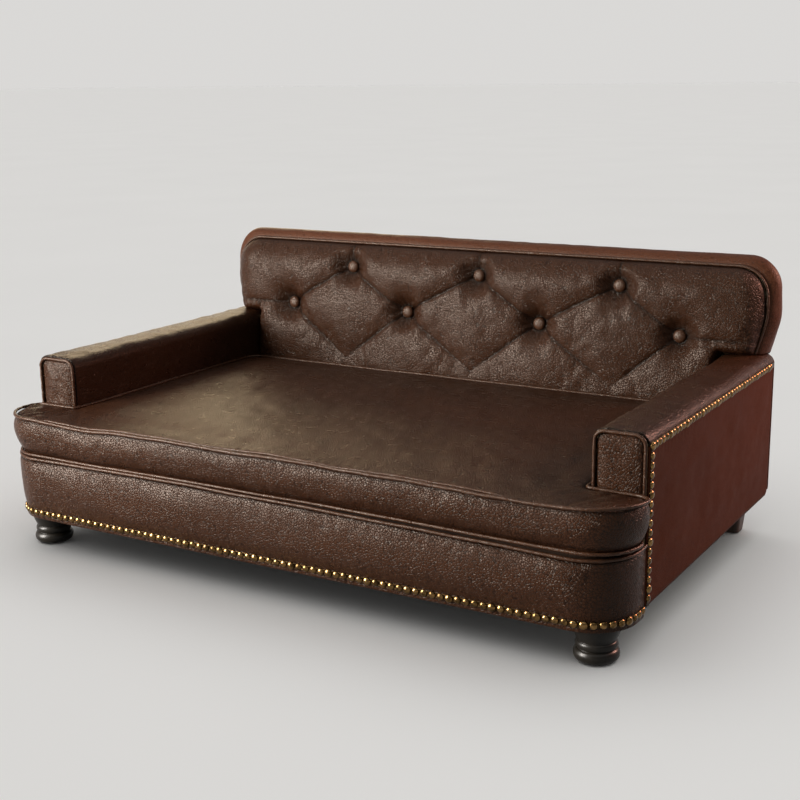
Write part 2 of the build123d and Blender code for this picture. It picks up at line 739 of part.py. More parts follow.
# Seat cushion: T-shaped, with two ears in front of the arms

def tee_path(inset, draw=0.0):
    """The cushion's plan. Only its front and the ears' ends swell out past the seams and draw in below."""
    held = max(inset, 0.0)
    front = arm_front - cushion_overhang + inset + draw
    ear_back = arm_front - ear_rear - held
    rear = arm_front + cushion_rear - held
    ear = ear_half_width - inset - draw
    body = arm_inner - cushion_gap - held
    corner = cushion_corner - inset - draw
    ear_round = ear_rear_round - held
    inner = ear_inner_round + held
    rear_round = cushion_rear_round - held
    return FilletPolyline(
        (-ear, front), (0, front + pull_in), (ear, front), (ear, ear_back), (body, ear_back),
        (body, rear), (-body, rear), (-body, ear_back), (-ear, ear_back),
        radius=[corner, pull_in_round, corner, ear_round, inner, rear_round, rear_round, inner, ear_round],
        close=True,
    )


def tee_face(inset, height, draw=0.0):
    return Pos(0, 0, height) * make_face(tee_path(inset, draw))


cushion_top = seat_level + cushion_side_height
upper_seam = cushion_top - seam_chamfer
lower_seam = seat_level + cushion_foot_chamfer
swell_height = (upper_seam + lower_seam) / 2
crown_edge = cushion_top + cushion_edge_crown
cushion_body = loft([
    tee_face(seam_chamfer, seat_level, cushion_draw), tee_face(0.0, lower_seam, cushion_draw)], ruled=True)
cushion_body += loft([
    tee_face(0.0, lower_seam, cushion_draw), tee_face(-cushion_swell, swell_height), tee_face(0.0, upper_seam)])
cushion_body += loft([tee_face(0.0, upper_seam), tee_face(seam_chamfer, cushion_top)], ruled=True)
cushion_body += loft([
    tee_face(seam_chamfer, cushion_top),
    tee_face(seam_chamfer + cushion_edge_inset, crown_edge),
], ruled=True)


def seat_crown_face(margin, height):
    half = arm_inner - margin
    low_y = arm_front - cushion_overhang + margin
    high_y = arm_front + cushion_rear - margin
    return Pos(0, (low_y + high_y) / 2, height) * RectangleRounded(2 * half, high_y - low_y, seat_crown_round)


crown_faces = [
    seat_crown_face(seat_crown_margin + seat_crown_slope * slope_share, crown_edge + seat_crown * crown_share)
    for slope_share, crown_share in seat_crown_shares
]
cushion_body += loft([seat_crown_face(seat_crown_margin, cushion_top)] + crown_faces, ruled=True)
foam_low = seat_level + leather
foam_high = cushion_top - leather
foam_room = prism(make_face(tee_path(foam_margin)), foam_low, foam_high)
save("cushion_cover", cushion_body - foam_room)
save("cushion_foam", prism(
    make_face(tee_path(foam_margin + touch_gap)), foam_low + touch_gap, foam_high - touch_gap))


def seam_piping(low_inset, low, high_inset, high, draw=0.0):
    """Piping that lies on the bevel between two seam lines of the cushion."""
    run = high_inset - low_inset
    rise = high - low
    slope = math.hypot(run, rise)
    away = welt_radius + touch_gap
    inset = (low_inset + high_inset) / 2 - away * rise / slope
    height = (low + high) / 2 + away * run / slope
    return piping(Pos(0, 0, height) * tee_path(inset, draw))


save("cushion_top_welt", seam_piping(0.0, upper_seam, seam_chamfer, cushion_top))
save("cushion_bottom_welt", seam_piping(seam_chamfer, seat_level, 0.0, lower_seam, cushion_draw))

# Zip in the cushion's rear, with a slider that has no pull tab

zip_y = arm_front + cushion_rear
zip_z = swell_height
chain_y = zip_y + zip_tape_thickness
zip_half_length = arm_inner - cushion_gap - zip_end_margin
tape_half = zip_tape_height / 2
tape = box_between((-zip_half_length, zip_y, zip_z - tape_half), (zip_half_length, chain_y, zip_z + tape_half))
chain_half = zip_chain_height / 2
chain_rear = chain_y + zip_chain_thickness
chain = box_between(
    (-zip_half_length, chain_y, zip_z - chain_half), (zip_half_length, chain_rear, zip_z + chain_half))
save("cushion_zip", tape + chain)
slider_x = zip_half_length - slider_end_margin - slider_length / 2
slider_rear = chain_rear + slider_clearance + slider_wall
slider = box_between(
    (slider_x - slider_length / 2, chain_y + slider_clearance, zip_z - slider_height / 2),
    (slider_x + slider_length / 2, slider_rear, zip_z + slider_height / 2))
slider -= box_between(
    (slider_x - slider_length, chain_y, zip_z - chain_half - slider_clearance),
    (slider_x + slider_length, chain_rear + slider_clearance, zip_z + chain_half + slider_clearance))
save("zip_slider", slider)

# Nail trim: stamped strips of small heads, with a real nail in every fifth place

def nail_head(radius, height, sides):
    return extrude(RegularPolygon(radius, sides), amount=height, taper=head_taper)


small_head = nail_head(small_head_radius, small_head_height, small_head_sides)
large_head = nail_head(nail_head_radius, nail_head_height, nail_head_sides)


def heads_along(places, first_index):
    """Small heads and real nails at a row of planes that face outwards."""
    small, large = [], []
    for index, place in enumerate(places, first_index):
        if index % real_nail_every == first_real_nail:
            large.append(place * large_head)
        else:
            small.append(place * small_head)
    return small, large


strip_path = Pos(0, 0, nail_line) * nose_path(strip_thickness, skirt_back, strip_thickness)
half_count = int(strip_path.length / nail_pitch / 2)
skirt_places = []
for index in range(-half_count, half_count):
    share = ((index + centre_share) * nail_pitch + strip_path.length / 2) / strip_path.length
    tangent = strip_path % share
    skirt_places.append(Plane(origin=strip_path @ share, x_dir=tangent, z_dir=tangent.cross(Vector(0, 0, 1))))
small_heads, real_nails = heads_along(skirt_places, -half_count)
strip_low = nail_line - strip_width / 2
strip_high = nail_line + strip_width / 2
skirt_strip = (
    prism(nose_face(strip_thickness, skirt_back, strip_thickness), strip_low, strip_high)
    - prism(nose_face(0.0, skirt_back + cut_over), strip_low - cut_over, strip_high + cut_over)
)
save("skirt_nail_strip", skirt_strip, *small_heads)

strip_face = half_width + strip_thickness
column_y = arm_front + side_column_inset
side_strip = box_between(
    (half_width, column_y - strip_width / 2, base_bottom),
    (strip_face, column_y + strip_width / 2, nail_row))
side_strip += box_between(
    (half_width, column_y - strip_width / 2, nail_row - strip_width / 2),
    (strip_face, base_rear - leather, nail_row + strip_width / 2))
column_count = int((nail_row - base_bottom) / nail_pitch)
row_count = int((base_rear - leather - column_y) / nail_pitch)
side_points = [(column_y, nail_row - (column_count - index) * nail_pitch) for index in range(column_count)]
side_points += [(column_y + index * nail_pitch, nail_row) for index in range(row_count)]
side_places = [Plane(origin=(strip_face, y, z), x_dir=(0, 1, 0), z_dir=(1, 0, 0)) for y, z in side_points]
small_heads, side_nails = heads_along(side_places, first_real_nail - column_count)
for side, side_name in enumerate(("right_", "left_")):
    save(side_name + "side_nail_strip", *[both_sides(shape)[side] for shape in [side_strip] + small_heads])
    real_nails += [both_sides(nail)[side] for nail in side_nails]
save("trim_nails", *real_nails)
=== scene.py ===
import math

import bmesh
import bpy
import numpy as np
from mathutils import Matrix, Vector
from mathutils.bvhtree import BVHTree


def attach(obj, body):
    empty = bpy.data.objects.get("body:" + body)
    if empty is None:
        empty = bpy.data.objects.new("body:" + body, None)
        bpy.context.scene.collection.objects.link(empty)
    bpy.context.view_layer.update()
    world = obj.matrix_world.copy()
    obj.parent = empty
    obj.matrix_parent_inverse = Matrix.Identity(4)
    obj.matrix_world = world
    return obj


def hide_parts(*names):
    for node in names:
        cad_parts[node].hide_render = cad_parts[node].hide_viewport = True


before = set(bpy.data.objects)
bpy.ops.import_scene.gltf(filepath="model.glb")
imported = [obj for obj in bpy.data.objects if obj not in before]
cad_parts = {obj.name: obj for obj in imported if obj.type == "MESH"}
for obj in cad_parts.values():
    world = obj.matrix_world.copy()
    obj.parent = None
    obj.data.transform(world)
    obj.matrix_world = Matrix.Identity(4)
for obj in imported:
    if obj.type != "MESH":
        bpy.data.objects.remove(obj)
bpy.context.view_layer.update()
scene = bpy.context.scene

# Sizes in millimetres, the same as in the part's source
HALF = 510.0
ARM_FRONT = -227.825
ARM_INNER = 435.0
ARM_TOP = 287.0
BASE_BOTTOM = 62.0
DECK_TOP = 150.0
SEAT = 151.5
EAR = 516.0
BASE_REAR = ARM_FRONT + 536.0
BOARD_REAR = BASE_REAR - 3.0
NOSE_HALF = 509.0
NOSE_FRONT = ARM_FRONT - 87.0
NOSE_CORNER = 64.0
NAIL_LINE = 61.0
NAIL_ROW = 271.0
NAIL_PITCH = 12.35
CUSHION_FRONT = ARM_FRONT - 100.0
CUSHION_REAR = ARM_FRONT + 455.0
LOW_DRAW = 7.0
LEAN = math.radians(5.0)
BACK_FOOT = ARM_TOP + 0.3
BACK_FRONT = ARM_FRONT + 507.0
BACK_REAR = ARM_FRONT + 556.0
BACK_HEIGHT = 138.0
BACK_CORNER = 50.0
FOOT_HALF = 486.0
WAIST_HALF = 501.0
WAIST_HEIGHT = 58.0
TOP_HALF = 497.0
PAD_HALF = 434.8
PAD_DEPTH = 32.4
SEAM = np.array([0.0, BACK_FRONT, BACK_FOOT])
SEAM_UP = np.array([0.0, math.sin(LEAN), math.cos(LEAN)])
SEAM_OUT = np.array([0.0, -math.cos(LEAN), math.sin(LEAN)])
WELT = 2.4


# Small tools for paths, noise and meshes

def rounded_path(points, radii, closed=False, step=1.0):
    """A flat polyline with its corners rounded, as dense points."""
    out = []
    count = len(points)
    for i, point in enumerate(points):
        p = np.array(point, float)
        if not closed and i in (0, count - 1):
            out.append(p)
            continue
        a = np.array(points[i - 1], float) - p
        b = np.array(points[(i + 1) % count], float) - p
        a /= np.linalg.norm(a)
        b /= np.linalg.norm(b)
        turn = math.pi - math.acos(max(-1.0, min(1.0, float(a @ b))))
        r = radii[i]
        if r <= 0 or turn < 1e-4:
            out.append(p)
            continue
        t = r * math.tan(turn / 2)
        start = p + a * t
        end = p + b * t
        centre = p + (a + b) / np.linalg.norm(a + b) * (r / math.cos(turn / 2))
        first = math.atan2(*(start - centre)[::-1])
        last = math.atan2(*(end - centre)[::-1])
        sweep = (last - first + math.pi) % (2 * math.pi) - math.pi
        steps = max(3, int(abs(sweep) * r / step) + 2)
        for k in range(steps):
            angle = first + sweep * k / (steps - 1)
            out.append(centre + r * np.array([math.cos(angle), math.sin(angle)]))
    return np.array(out)


def resample(points, count, closed=False):
    """Evenly spaced points along a path, with its unit tangents and the places along it."""
    points = np.asarray(points, float)
    if closed:
        points = np.vstack([points, points[:1]])
    steps = np.linalg.norm(np.diff(points, axis=0), axis=1)
    places = np.concatenate([[0.0], np.cumsum(steps)])
    keep = np.concatenate([[True], np.diff(places) > 1e-9])
    points, places = points[keep], places[keep]
    total = places[-1]
    wanted = np.linspace(0, total, count, endpoint=not closed)
    out = np.stack([np.interp(wanted, places, points[:, k]) for k in range(points.shape[1])], axis=1)
    if closed:
        tangent = np.roll(out, -1, axis=0) - np.roll(out, 1, axis=0)
    else:
        tangent = np.gradient(out, axis=0)
    tangent /= np.linalg.norm(tangent, axis=1)[:, None]
    return out, tangent, wanted, total


def waves(points, size, seed):
    """Smooth seeded noise of about plus and minus one, with waves of about that size."""
    count = 28
    rng = np.random.default_rng(seed)
    points = np.asarray(points, float)
    direction = rng.normal(size=(count, points.shape[-1]))
    direction /= np.linalg.norm(direction, axis=1)[:, None]
    length = size * np.exp(rng.normal(0, 0.25, count))
    phase = rng.uniform(0, 2 * math.pi, count)
    total = np.zeros(points.shape[:-1])
    for d, l, f in zip(direction, length, phase):
        total += np.sin(points @ (d * 2 * math.pi / l) + f)
    return total / math.sqrt(count / 2)


def smooth_step(x, low, high):
    t = np.clip((x - low) / (high - low), 0, 1)
    return t * t * (3 - 2 * t)


def bell(x, centre, width):
    """One at the centre, falling off smoothly on both sides."""
    return np.exp(-((x - centre) / width) ** 2)


def rise(x, start, run):
    """Zero up to the start, then nearing one."""
    return 1 - np.exp(-np.maximum(x - start, 0) / run)


def round_corners(x, v, reach, top, corner):
    """Points of a grid with square upper corners, drawn in to round ones."""
    a = np.clip((np.abs(x) - (reach - corner)) / corner, 0, 1)
    b = np.clip((v - (top - corner)) / corner, 0, 1)
    both = (a > 0) & (b > 0)
    round_x = np.where(both, np.sign(x) * (reach - corner + corner * a * np.sqrt(1 - b * b / 2)), x)
    round_v = np.where(both, top - corner + corner * b * np.sqrt(1 - a * a / 2), v)
    return round_x, round_v


def piece(name, points, faces):
    """A mesh object from points in millimetres."""
    mesh = bpy.data.meshes.new(name)
    mesh.from_pydata((np.asarray(points, float) / 1000).tolist(), [], [list(map(int, f)) for f in faces])
    work = bmesh.new()
    work.from_mesh(mesh)
    bmesh.ops.recalc_face_normals(work, faces=work.faces)
    work.to_mesh(mesh)
    work.free()
    mesh.polygons.foreach_set("use_smooth", [True] * len(mesh.polygons))
    mesh.update()
    obj = bpy.data.objects.new(name, mesh)
    scene.collection.objects.link(obj)
    return obj


def grid_quads(rows, cols, wrap=False):
    r, c = np.meshgrid(np.arange(rows - 1), np.arange(cols if wrap else cols - 1), indexing="ij")
    r, c = r.ravel(), c.ravel()
    n = (c + 1) % cols
    return np.stack([r * cols + c, r * cols + n, (r + 1) * cols + n, (r + 1) * cols + c], axis=1)


def closed_sheet(name, front, back, quads):
    """A closed piece between two sheets of points that share one set of quads."""
    front = front.reshape(-1, 3)
    back = back.reshape(-1, 3)
    used = np.unique(quads)
    index = -np.ones(len(front), int)
    index[used] = np.arange(len(used))
    quads = index[quads]
    count = len(used)
    edges = {}
    for q in quads:
        for k in range(4):
            a, b = int(q[k]), int(q[(k + 1) % 4])
            if (b, a) in edges:
                del edges[(b, a)]
            else:
                edges[(a, b)] = True
    faces = [tuple(q) for q in quads] + [tuple(q[::-1] + count) for q in quads]
    faces += [(b, a, a + count, b + count) for a, b in edges]
    return piece(name, np.vstack([front[used], back[used]]), faces)


def tube(name, path, radius, seed, closed=False, up=(0, 0, 1)):
    """A sewn welt: a cord along a path, a little uneven as leather over cord is."""
    sides, uneven = 10, 0.05
    path = np.asarray(path, float)
    count = len(path)
    if closed:
        tangent = np.roll(path, -1, axis=0) - np.roll(path, 1, axis=0)
    else:
        tangent = np.gradient(path, axis=0)
    tangent /= np.linalg.norm(tangent, axis=1)[:, None]
    side = np.cross(np.array(up, float)[None], tangent)
    side /= np.linalg.norm(side, axis=1)[:, None]
    other = np.cross(tangent, side)
    swell = 1 + uneven * waves(path, 16, seed)[:, None] + uneven * 0.7 * waves(path, 6, seed + 1)[:, None]
    rings = []
    for k in range(sides):
        angle = 2 * math.pi * k / sides
        rings.append(path + radius * swell * (math.cos(angle) * side + math.sin(angle) * other))
    points = np.stack(rings, axis=1).reshape(-1, 3)
    faces = []
    for i in range(count if closed else count - 1):
        j = (i + 1) % count
        for k in range(sides):
            n = (k + 1) % sides
            faces.append((i * sides + k, i * sides + n, j * sides + n, j * sides + k))
    if not closed:
        faces.append(tuple(range(sides))[::-1])
        faces.append(tuple((count - 1) * sides + k for k in range(sides)))
    return piece(name, points, faces)


def lathe(profile, segments):
    """Points and faces of a turned form from (radius, height) pairs that start and end on the axis."""
    points = [(0, 0, profile[0][1])]
    for r, z in profile[1:-1]:
        for k in range(segments):
            a = 2 * math.pi * k / segments
            points.append((r * math.cos(a), r * math.sin(a), z))
    points.append((0, 0, profile[-1][1]))
    last = len(points) - 1
    faces = [(0, 1 + (k + 1) % segments, 1 + k) for k in range(segments)]
    rings = len(profile) - 2
    for i in range(rings - 1):
        for k in range(segments):
            n = (k + 1) % segments
            a, b = 1 + i * segments, 1 + (i + 1) * segments
            faces.append((a + k, a + n, b + n, b + k))
    top = 1 + (rings - 1) * segments
    faces += [(top + k, top + (k + 1) % segments, last) for k in range(segments)]
    return np.array(points, float), faces


def gather(name, parts):
    """One piece from several (points, faces) parts."""
    points, faces, start = [], [], 0
    for p, f in parts:
        points.append(p)
        faces += [tuple(start + i for i in face) for face in f]
        start += len(p)
    return piece(name, np.vstack(points), faces)


def placed(part, origin, x_dir, z_dir):
    points, faces = part
    x = np.array(x_dir, float)
    z = np.array(z_dir, float)
    x /= np.linalg.norm(x)
    z /= np.linalg.norm(z)
    y = np.cross(z, x)
    return points @ np.stack([x, y, z]) + np.array(origin, float), faces


def coordinates(obj):
    co = np.empty(len(obj.data.vertices) * 3)
    obj.data.vertices.foreach_get("co", co)
    return co.reshape(-1, 3) * 1000


def normals(obj):
    no = np.empty(len(obj.data.vertices) * 3)
    obj.data.vertices.foreach_get("normal", no)
    return no.reshape(-1, 3)


def move_to(obj, points):
    obj.data.vertices.foreach_set("co", (np.asarray(points) / 1000).ravel())
    obj.data.update()


def inflate(obj, pinned, cap, pressure=4.0, frames=20, slack=0.0):
    """Cloth under pressure, held at its seams; no point goes further than the cap. The result is applied."""
    start = coordinates(obj)
    group = obj.vertex_groups.new(name="held")
    group.add([int(i) for i in np.flatnonzero(pinned)], 1.0, "REPLACE")
    cloth = obj.modifiers.new("cloth", "CLOTH")
    settings = cloth.settings
    settings.quality = 4
    settings.mass = 0.3
    settings.tension_stiffness = 12
    settings.compression_stiffness = 12
    settings.shear_stiffness = 4
    settings.bending_stiffness = 0.6
    settings.vertex_group_mass = "held"
    settings.use_pressure = True
    settings.uniform_pressure_force = pressure
    settings.shrink_min = -slack
    settings.effector_weights.gravity = 0
    cloth.collision_settings.use_collision = False
    cloth.collision_settings.use_self_collision = False
    cloth.point_cache.frame_start = 1
    cloth.point_cache.frame_end = frames
    for f in range(1, frames + 1):
        scene.frame_set(f)
    evaluated = obj.evaluated_get(bpy.context.evaluated_depsgraph_get())
    co = np.empty(len(evaluated.data.vertices) * 3)
    evaluated.data.vertices.foreach_get("co", co)
    moved = co.reshape(-1, 3) * 1000 - start
    obj.modifiers.remove(cloth)
    obj.vertex_groups.remove(group)
    scene.frame_set(1)
    length = np.linalg.norm(moved, axis=1)
    held = np.where(length > 1e-6, cap * np.tanh(length / cap) / np.maximum(length, 1e-6), 1.0)
    move_to(obj, start + moved * held[:, None])


def subdivide(obj):
    modifier = obj.modifiers.new("finer", "SUBSURF")
    modifier.levels = 1
    modifier.render_levels = 1
    evaluated = obj.evaluated_get(bpy.context.evaluated_depsgraph_get())
    mesh = bpy.data.meshes.new_from_object(evaluated)
    obj.modifiers.remove(modifier)
    old = obj.data
    obj.data = mesh
    bpy.data.meshes.remove(old)
    mesh.polygons.foreach_set("use_smooth", [True] * len(mesh.polygons))
    mesh.update()


def nearest(points, path):
    """Distance of each flat point from a dense path."""
    out = np.empty(len(points))
    for i in range(0, len(points), 4000):
        part = points[i:i + 4000]
        d = part[:, None, :] - path[None]
        out[i:i + 4000] = np.sqrt((d ** 2).sum(2).min(1))
    return out


def shade_attribute(obj, values):
    """Stores how much painted shade a point gets, for the material to darken its colour; used in creases,
    grooves and beside seams.
    """
    attribute = obj.data.attributes.new("crease", "FLOAT", "POINT")
    attribute.data.foreach_set("value", np.clip(values, 0, 1).astype(np.float32))


# Materials

def nodes_of(name):
    material = bpy.data.materials.new(name)
    material.use_nodes = True
    tree = material.node_tree
    place = tree.nodes.new("ShaderNodeTexCoord").outputs["Object"]
    return material, tree, tree.nodes["Principled BSDF"], place


def set_inputs(tree, node, values):
    """Sets a node's inputs, or links them where the value is another node's output."""
    for key, value in values.items():
        if isinstance(value, bpy.types.NodeSocket):
            tree.links.new(value, node.inputs[key])
        else:
            node.inputs[key].default_value = value


def node_of(tree, kind, values, **settings):
    node = tree.nodes.new("ShaderNode" + kind)
    for key, value in settings.items():
        setattr(node, key, value)
    set_inputs(tree, node, values)
    return node


def noise_of(tree, place, scale, detail=3.0, rough=0.5, distortion=0.0):
    return node_of(tree, "TexNoise", {
        "Scale": scale, "Detail": detail, "Roughness": rough, "Distortion": distortion, "Vector": place,
    }).outputs["Fac"]


def ramp_of(tree, value, low, high, out_low=0.0, out_high=1.0):
    return node_of(tree, "MapRange", {
        "From Min": low, "From Max": high, "To Min": out_low, "To Max": out_high, "Value": value,
    }).outputs["Result"]


def math_of(tree, kind, a, b):
    return node_of(tree, "Math", {0: a, 1: b}, operation=kind).outputs[0]


def sum_of(tree, *terms):
    """The sum of some values, each with its weight."""
    total = None
    for value, weight in terms:
        part = value if weight == 1 else math_of(tree, "MULTIPLY", value, weight)
        total = part if total is None else math_of(tree, "ADD", total, part)
    return total


def mix_of(tree, factor, *colours):
    """A colour between two, each given as three numbers or as another node's output."""
    a, b = ((*colour, 1) if isinstance(colour, tuple) else colour for colour in colours)
    return node_of(tree, "Mix", {0: factor, 6: a, 7: b}, data_type="RGBA").outputs[2]


def voronoi_of(tree, place, scale, feature):
    return node_of(tree, "TexVoronoi", {"Scale": scale, "Vector": place}, feature=feature).outputs["Distance"]


def warped(tree, place, scale, amount):
    """Coordinates pushed about by noise, so that a pattern isn't regular."""
    noise = node_of(tree, "TexNoise", {"Scale": scale, "Detail": 2.0, "Vector": place}).outputs["Color"]
    centred = node_of(tree, "VectorMath", {0: noise, 1: (0.5, 0.5, 0.5)}, operation="SUBTRACT").outputs[0]
    push = node_of(tree, "VectorMath", {0: centred, "Scale": amount}, operation="SCALE").outputs[0]
    return node_of(tree, "VectorMath", {0: place, 1: push}, operation="ADD").outputs[0]


def bump_of(tree, height, distance, strength):
    values = {"Distance": distance, "Strength": strength, "Height": height}
    return node_of(tree, "Bump", values).outputs["Normal"]


def leather(name, deep, mid, light, pebble=3.5, depth=0.00052, rough=(0.26, 0.33), level=0.1, paints_crease_shade=False):
    """Pebble-grained faux leather: pebbles with furrows between, a little uneven in tone and sheen."""
    material, tree, shader, place = nodes_of(name)
    bent = warped(tree, place, 120.0, 0.0015)
    scale = 1000.0 / pebble
    pebbles = ramp_of(tree, voronoi_of(tree, bent, scale, "F1"), 0.08, 0.62, 1.0, 0.0)
    furrow = ramp_of(tree, voronoi_of(tree, bent, scale, "DISTANCE_TO_EDGE"), 0.0, 0.14)
    small = ramp_of(tree, voronoi_of(tree, bent, scale * 2.2, "DISTANCE_TO_EDGE"), 0.0, 0.3)
    cells = sum_of(tree, (furrow, 0.65), (small, 0.12), (pebbles, 0.28))
    soft = noise_of(tree, place, 60.0, 4.0, 0.6)
    broad = noise_of(tree, place, 6.0, 4.0, 0.55, 0.3)
    tone = mix_of(tree, ramp_of(tree, broad, 0.3, 0.7), mid, light)
    # Painted shade in the grain: the furrows between pebbles are coloured darker with the deep colour
    tone = mix_of(tree, ramp_of(tree, cells, 0.1, 0.7), deep, tone)
    if paints_crease_shade:
        # Painted shade: the crease attribute darkens the colour in creases, grooves, dimples and beside seams
        crease = tree.nodes.new("ShaderNodeAttribute")
        crease.attribute_name = "crease"
        tone = mix_of(tree, crease.outputs["Fac"], tone, tuple(c * 0.15 for c in deep))
    set_inputs(tree, shader, {
        "Base Color": tone,
        "Roughness": ramp_of(tree, soft, 0.3, 0.7, *rough),
        "Specular IOR Level": level,
        "Specular Tint": (1.0, 0.9, 0.8, 1),
        "Normal": bump_of(tree, sum_of(tree, (cells, 1), (soft, 0.25)), depth, 1.0),
    })
    return material


def brass(name, bright, rough=(0.2, 0.34), dark_share=0.35):
    """Antique brass: polished on the crowns, with brown patina in soft patches."""
    material, tree, shader, place = nodes_of(name)
    patina = noise_of(tree, place, 140.0, 4.0, 0.6)
    dark = tuple(c * dark_share for c in bright)
    set_inputs(tree, shader, {
        "Base Color": mix_of(tree, ramp_of(tree, patina, 0.36, 0.6), dark, bright),
        "Metallic": 1.0,
        "Roughness": ramp_of(tree, patina, 0.35, 0.65, rough[1], rough[0]),
        "Normal": bump_of(tree, noise_of(tree, place, 500.0, 2.0), 0.00008, 0.4),
    })
    return material


def wood(name, dark, light, along, rough=(0.5, 0.7), gloss=0.0, level=0.5):
    """Wood with its grain along an axis: 0 is X, 1 is Y, 2 is Z."""
    material, tree, shader, place = nodes_of(name)
    scale = [34.0, 34.0, 34.0]
    scale[along] = 3.0
    stretched = node_of(tree, "Mapping", {"Scale": scale, "Vector": place}).outputs["Vector"]
    grain = noise_of(tree, stretched, 2.2, 8.0, 0.66, 0.8)
    pores = noise_of(tree, stretched, 14.0, 4.0, 0.7)
    set_inputs(tree, shader, {
        "Base Color": mix_of(tree, ramp_of(tree, grain, 0.35, 0.65), dark, light),
        "Roughness": ramp_of(tree, pores, 0.3, 0.7, *rough),
        "Specular IOR Level": level,
        "Coat Weight": gloss,
        "Coat Roughness": 0.22,
        "Normal": bump_of(tree, sum_of(tree, (grain, 1), (pores, 1)), 0.0003, 0.35),
    })
    return material


def cloth_of(name, dark, light, pitch):
    """Plain woven or felted cloth from two crossing waves and a little fuzz."""
    material, tree, shader, place = nodes_of(name)
    threads = [
        node_of(tree, "TexWave", {"Scale": pitch, "Distortion": 0.6, "Detail": 1.0, "Vector": place},
                bands_direction=direction).outputs["Fac"]
        for direction in ("X", "Y")]
    fuzz = noise_of(tree, place, 300.0, 4.0, 0.7)
    weave = sum_of(tree, (math_of(tree, "MULTIPLY", *threads), 1), (fuzz, 0.6))
    set_inputs(tree, shader, {
        "Base Color": mix_of(tree, ramp_of(tree, weave, 0.1, 1.1), dark, light),
        "Roughness": 0.9,
        "Specular IOR Level": 0.1,
        "Sheen Weight": 0.02,
        "Normal": bump_of(tree, weave, 0.0004, 0.6),
    })
    return material


def foam_of(name, dark, light):
    material, tree, shader, place = nodes_of(name)
    cells = voronoi_of(tree, place, 700.0, "F1")
    mixed = sum_of(tree, (cells, 0.7), (noise_of(tree, place, 9.0, 3.0), 0.6))
    set_inputs(tree, shader, {
        "Base Color": mix_of(tree, ramp_of(tree, mixed, 0.2, 1.0), light, dark),
        "Roughness": 0.95,
        "Normal": bump_of(tree, cells, 0.0008, 0.8),
    })
    return material


def plain(name, dark, light, tone_scale, tone_detail, rough, grain_scale, metallic):
    """Metal or plastic, a little uneven in tone and sheen."""
    material, tree, shader, place = nodes_of(name)
    tone = noise_of(tree, place, tone_scale, tone_detail, 0.6)
    set_inputs(tree, shader, {
        "Base Color": mix_of(tree, ramp_of(tree, tone, 0.35, 0.65), dark, light),
        "Metallic": metallic,
        "Roughness": ramp_of(tree, tone, 0.3, 0.7, *rough),
        "Normal": bump_of(tree, noise_of(tree, place, grain_scale, 2.0), 0.0001, 0.4),
    })
    return material


DEEP = (0.0036, 0.0012, 0.0005)
MID = (0.0185, 0.0068, 0.0029)
LIGHT = (0.0225, 0.0084, 0.0037)
tufted = leather("cover_leather", DEEP, MID, LIGHT, paints_crease_shade=True)
smooth_side = leather(
    "side_leather", (0.022, 0.0062, 0.0028), (0.035, 0.0102, 0.0046), (0.043, 0.0128, 0.0058),
    pebble=3.0, depth=0.00015, rough=(0.44, 0.54), level=0.012)
band_leather = leather(
    "band_leather", (0.018, 0.006, 0.0028), (0.036, 0.0122, 0.0056), (0.046, 0.0158, 0.0073),
    pebble=3.2, depth=0.0003, rough=(0.34, 0.44), level=0.08)
welt_leather = leather(
    "welt_leather", (0.008, 0.0030, 0.0014), (0.025, 0.0100, 0.0046), (0.034, 0.0138, 0.0066),
    pebble=2.6, depth=0.00022, rough=(0.24, 0.34), level=0.16)
nail_brass = brass("nail_brass", (0.21, 0.124, 0.048), rough=(0.17, 0.28), dark_share=0.25)
strip_brass = brass("strip_brass", (0.036, 0.021, 0.009), rough=(0.34, 0.5), dark_share=0.3)
black_foot = wood(
    "black_foot", (0.0026, 0.0021, 0.0015), (0.0062, 0.0050, 0.0036), 2, (0.3, 0.42), 0.08, 0.15)
brown_foot = wood("brown_foot", (0.012, 0.007, 0.005), (0.028, 0.016, 0.011), 2, (0.4, 0.52), 0.05, 0.2)
plywood_x = wood("plywood_along_x", (0.42, 0.27, 0.14), (0.66, 0.48, 0.29), 0)
plywood_y = wood("plywood_along_y", (0.42, 0.27, 0.14), (0.66, 0.48, 0.29), 1)
plywood_z = wood("plywood_along_z", (0.16, 0.10, 0.055), (0.27, 0.18, 0.10), 2)
stained_edge = wood("stained_plywood", (0.012, 0.0065, 0.004), (0.026, 0.014, 0.0085), 0, level=0.1)
fibreboard = wood("fibreboard", (0.014, 0.0075, 0.0045), (0.028, 0.015, 0.009), 0, level=0.1)
foam = foam_of("foam", (0.55, 0.48, 0.3), (0.8, 0.74, 0.56))
lining = cloth_of("lining", (0.008, 0.008, 0.008), (0.035, 0.034, 0.033), 500.0)
deck_cloth = cloth_of("deck_cloth", (0.008, 0.0045, 0.003), (0.024, 0.014, 0.010), 420.0)
tie_cord = cloth_of("tie_cord", (0.35, 0.3, 0.22), (0.6, 0.54, 0.42), 900.0)
steel = plain("zinc_steel", (0.42, 0.42, 0.4), (0.7, 0.7, 0.68), 120.0, 5.0, (0.25, 0.42), 900.0, 1.0)
glide = plain("glide", (0.012, 0.012, 0.012), (0.03, 0.03, 0.03), 60.0, 4.0, (0.45, 0.6), 1500.0, 0.0)
zip_tape = cloth_of("zip_tape", (0.014, 0.008, 0.006), (0.04, 0.024, 0.018), 1300.0)
zip_metal = brass("zip_metal", (0.42, 0.3, 0.14))


def dress(obj, material):
    obj.data.materials.clear()
    obj.data.materials.append(material)


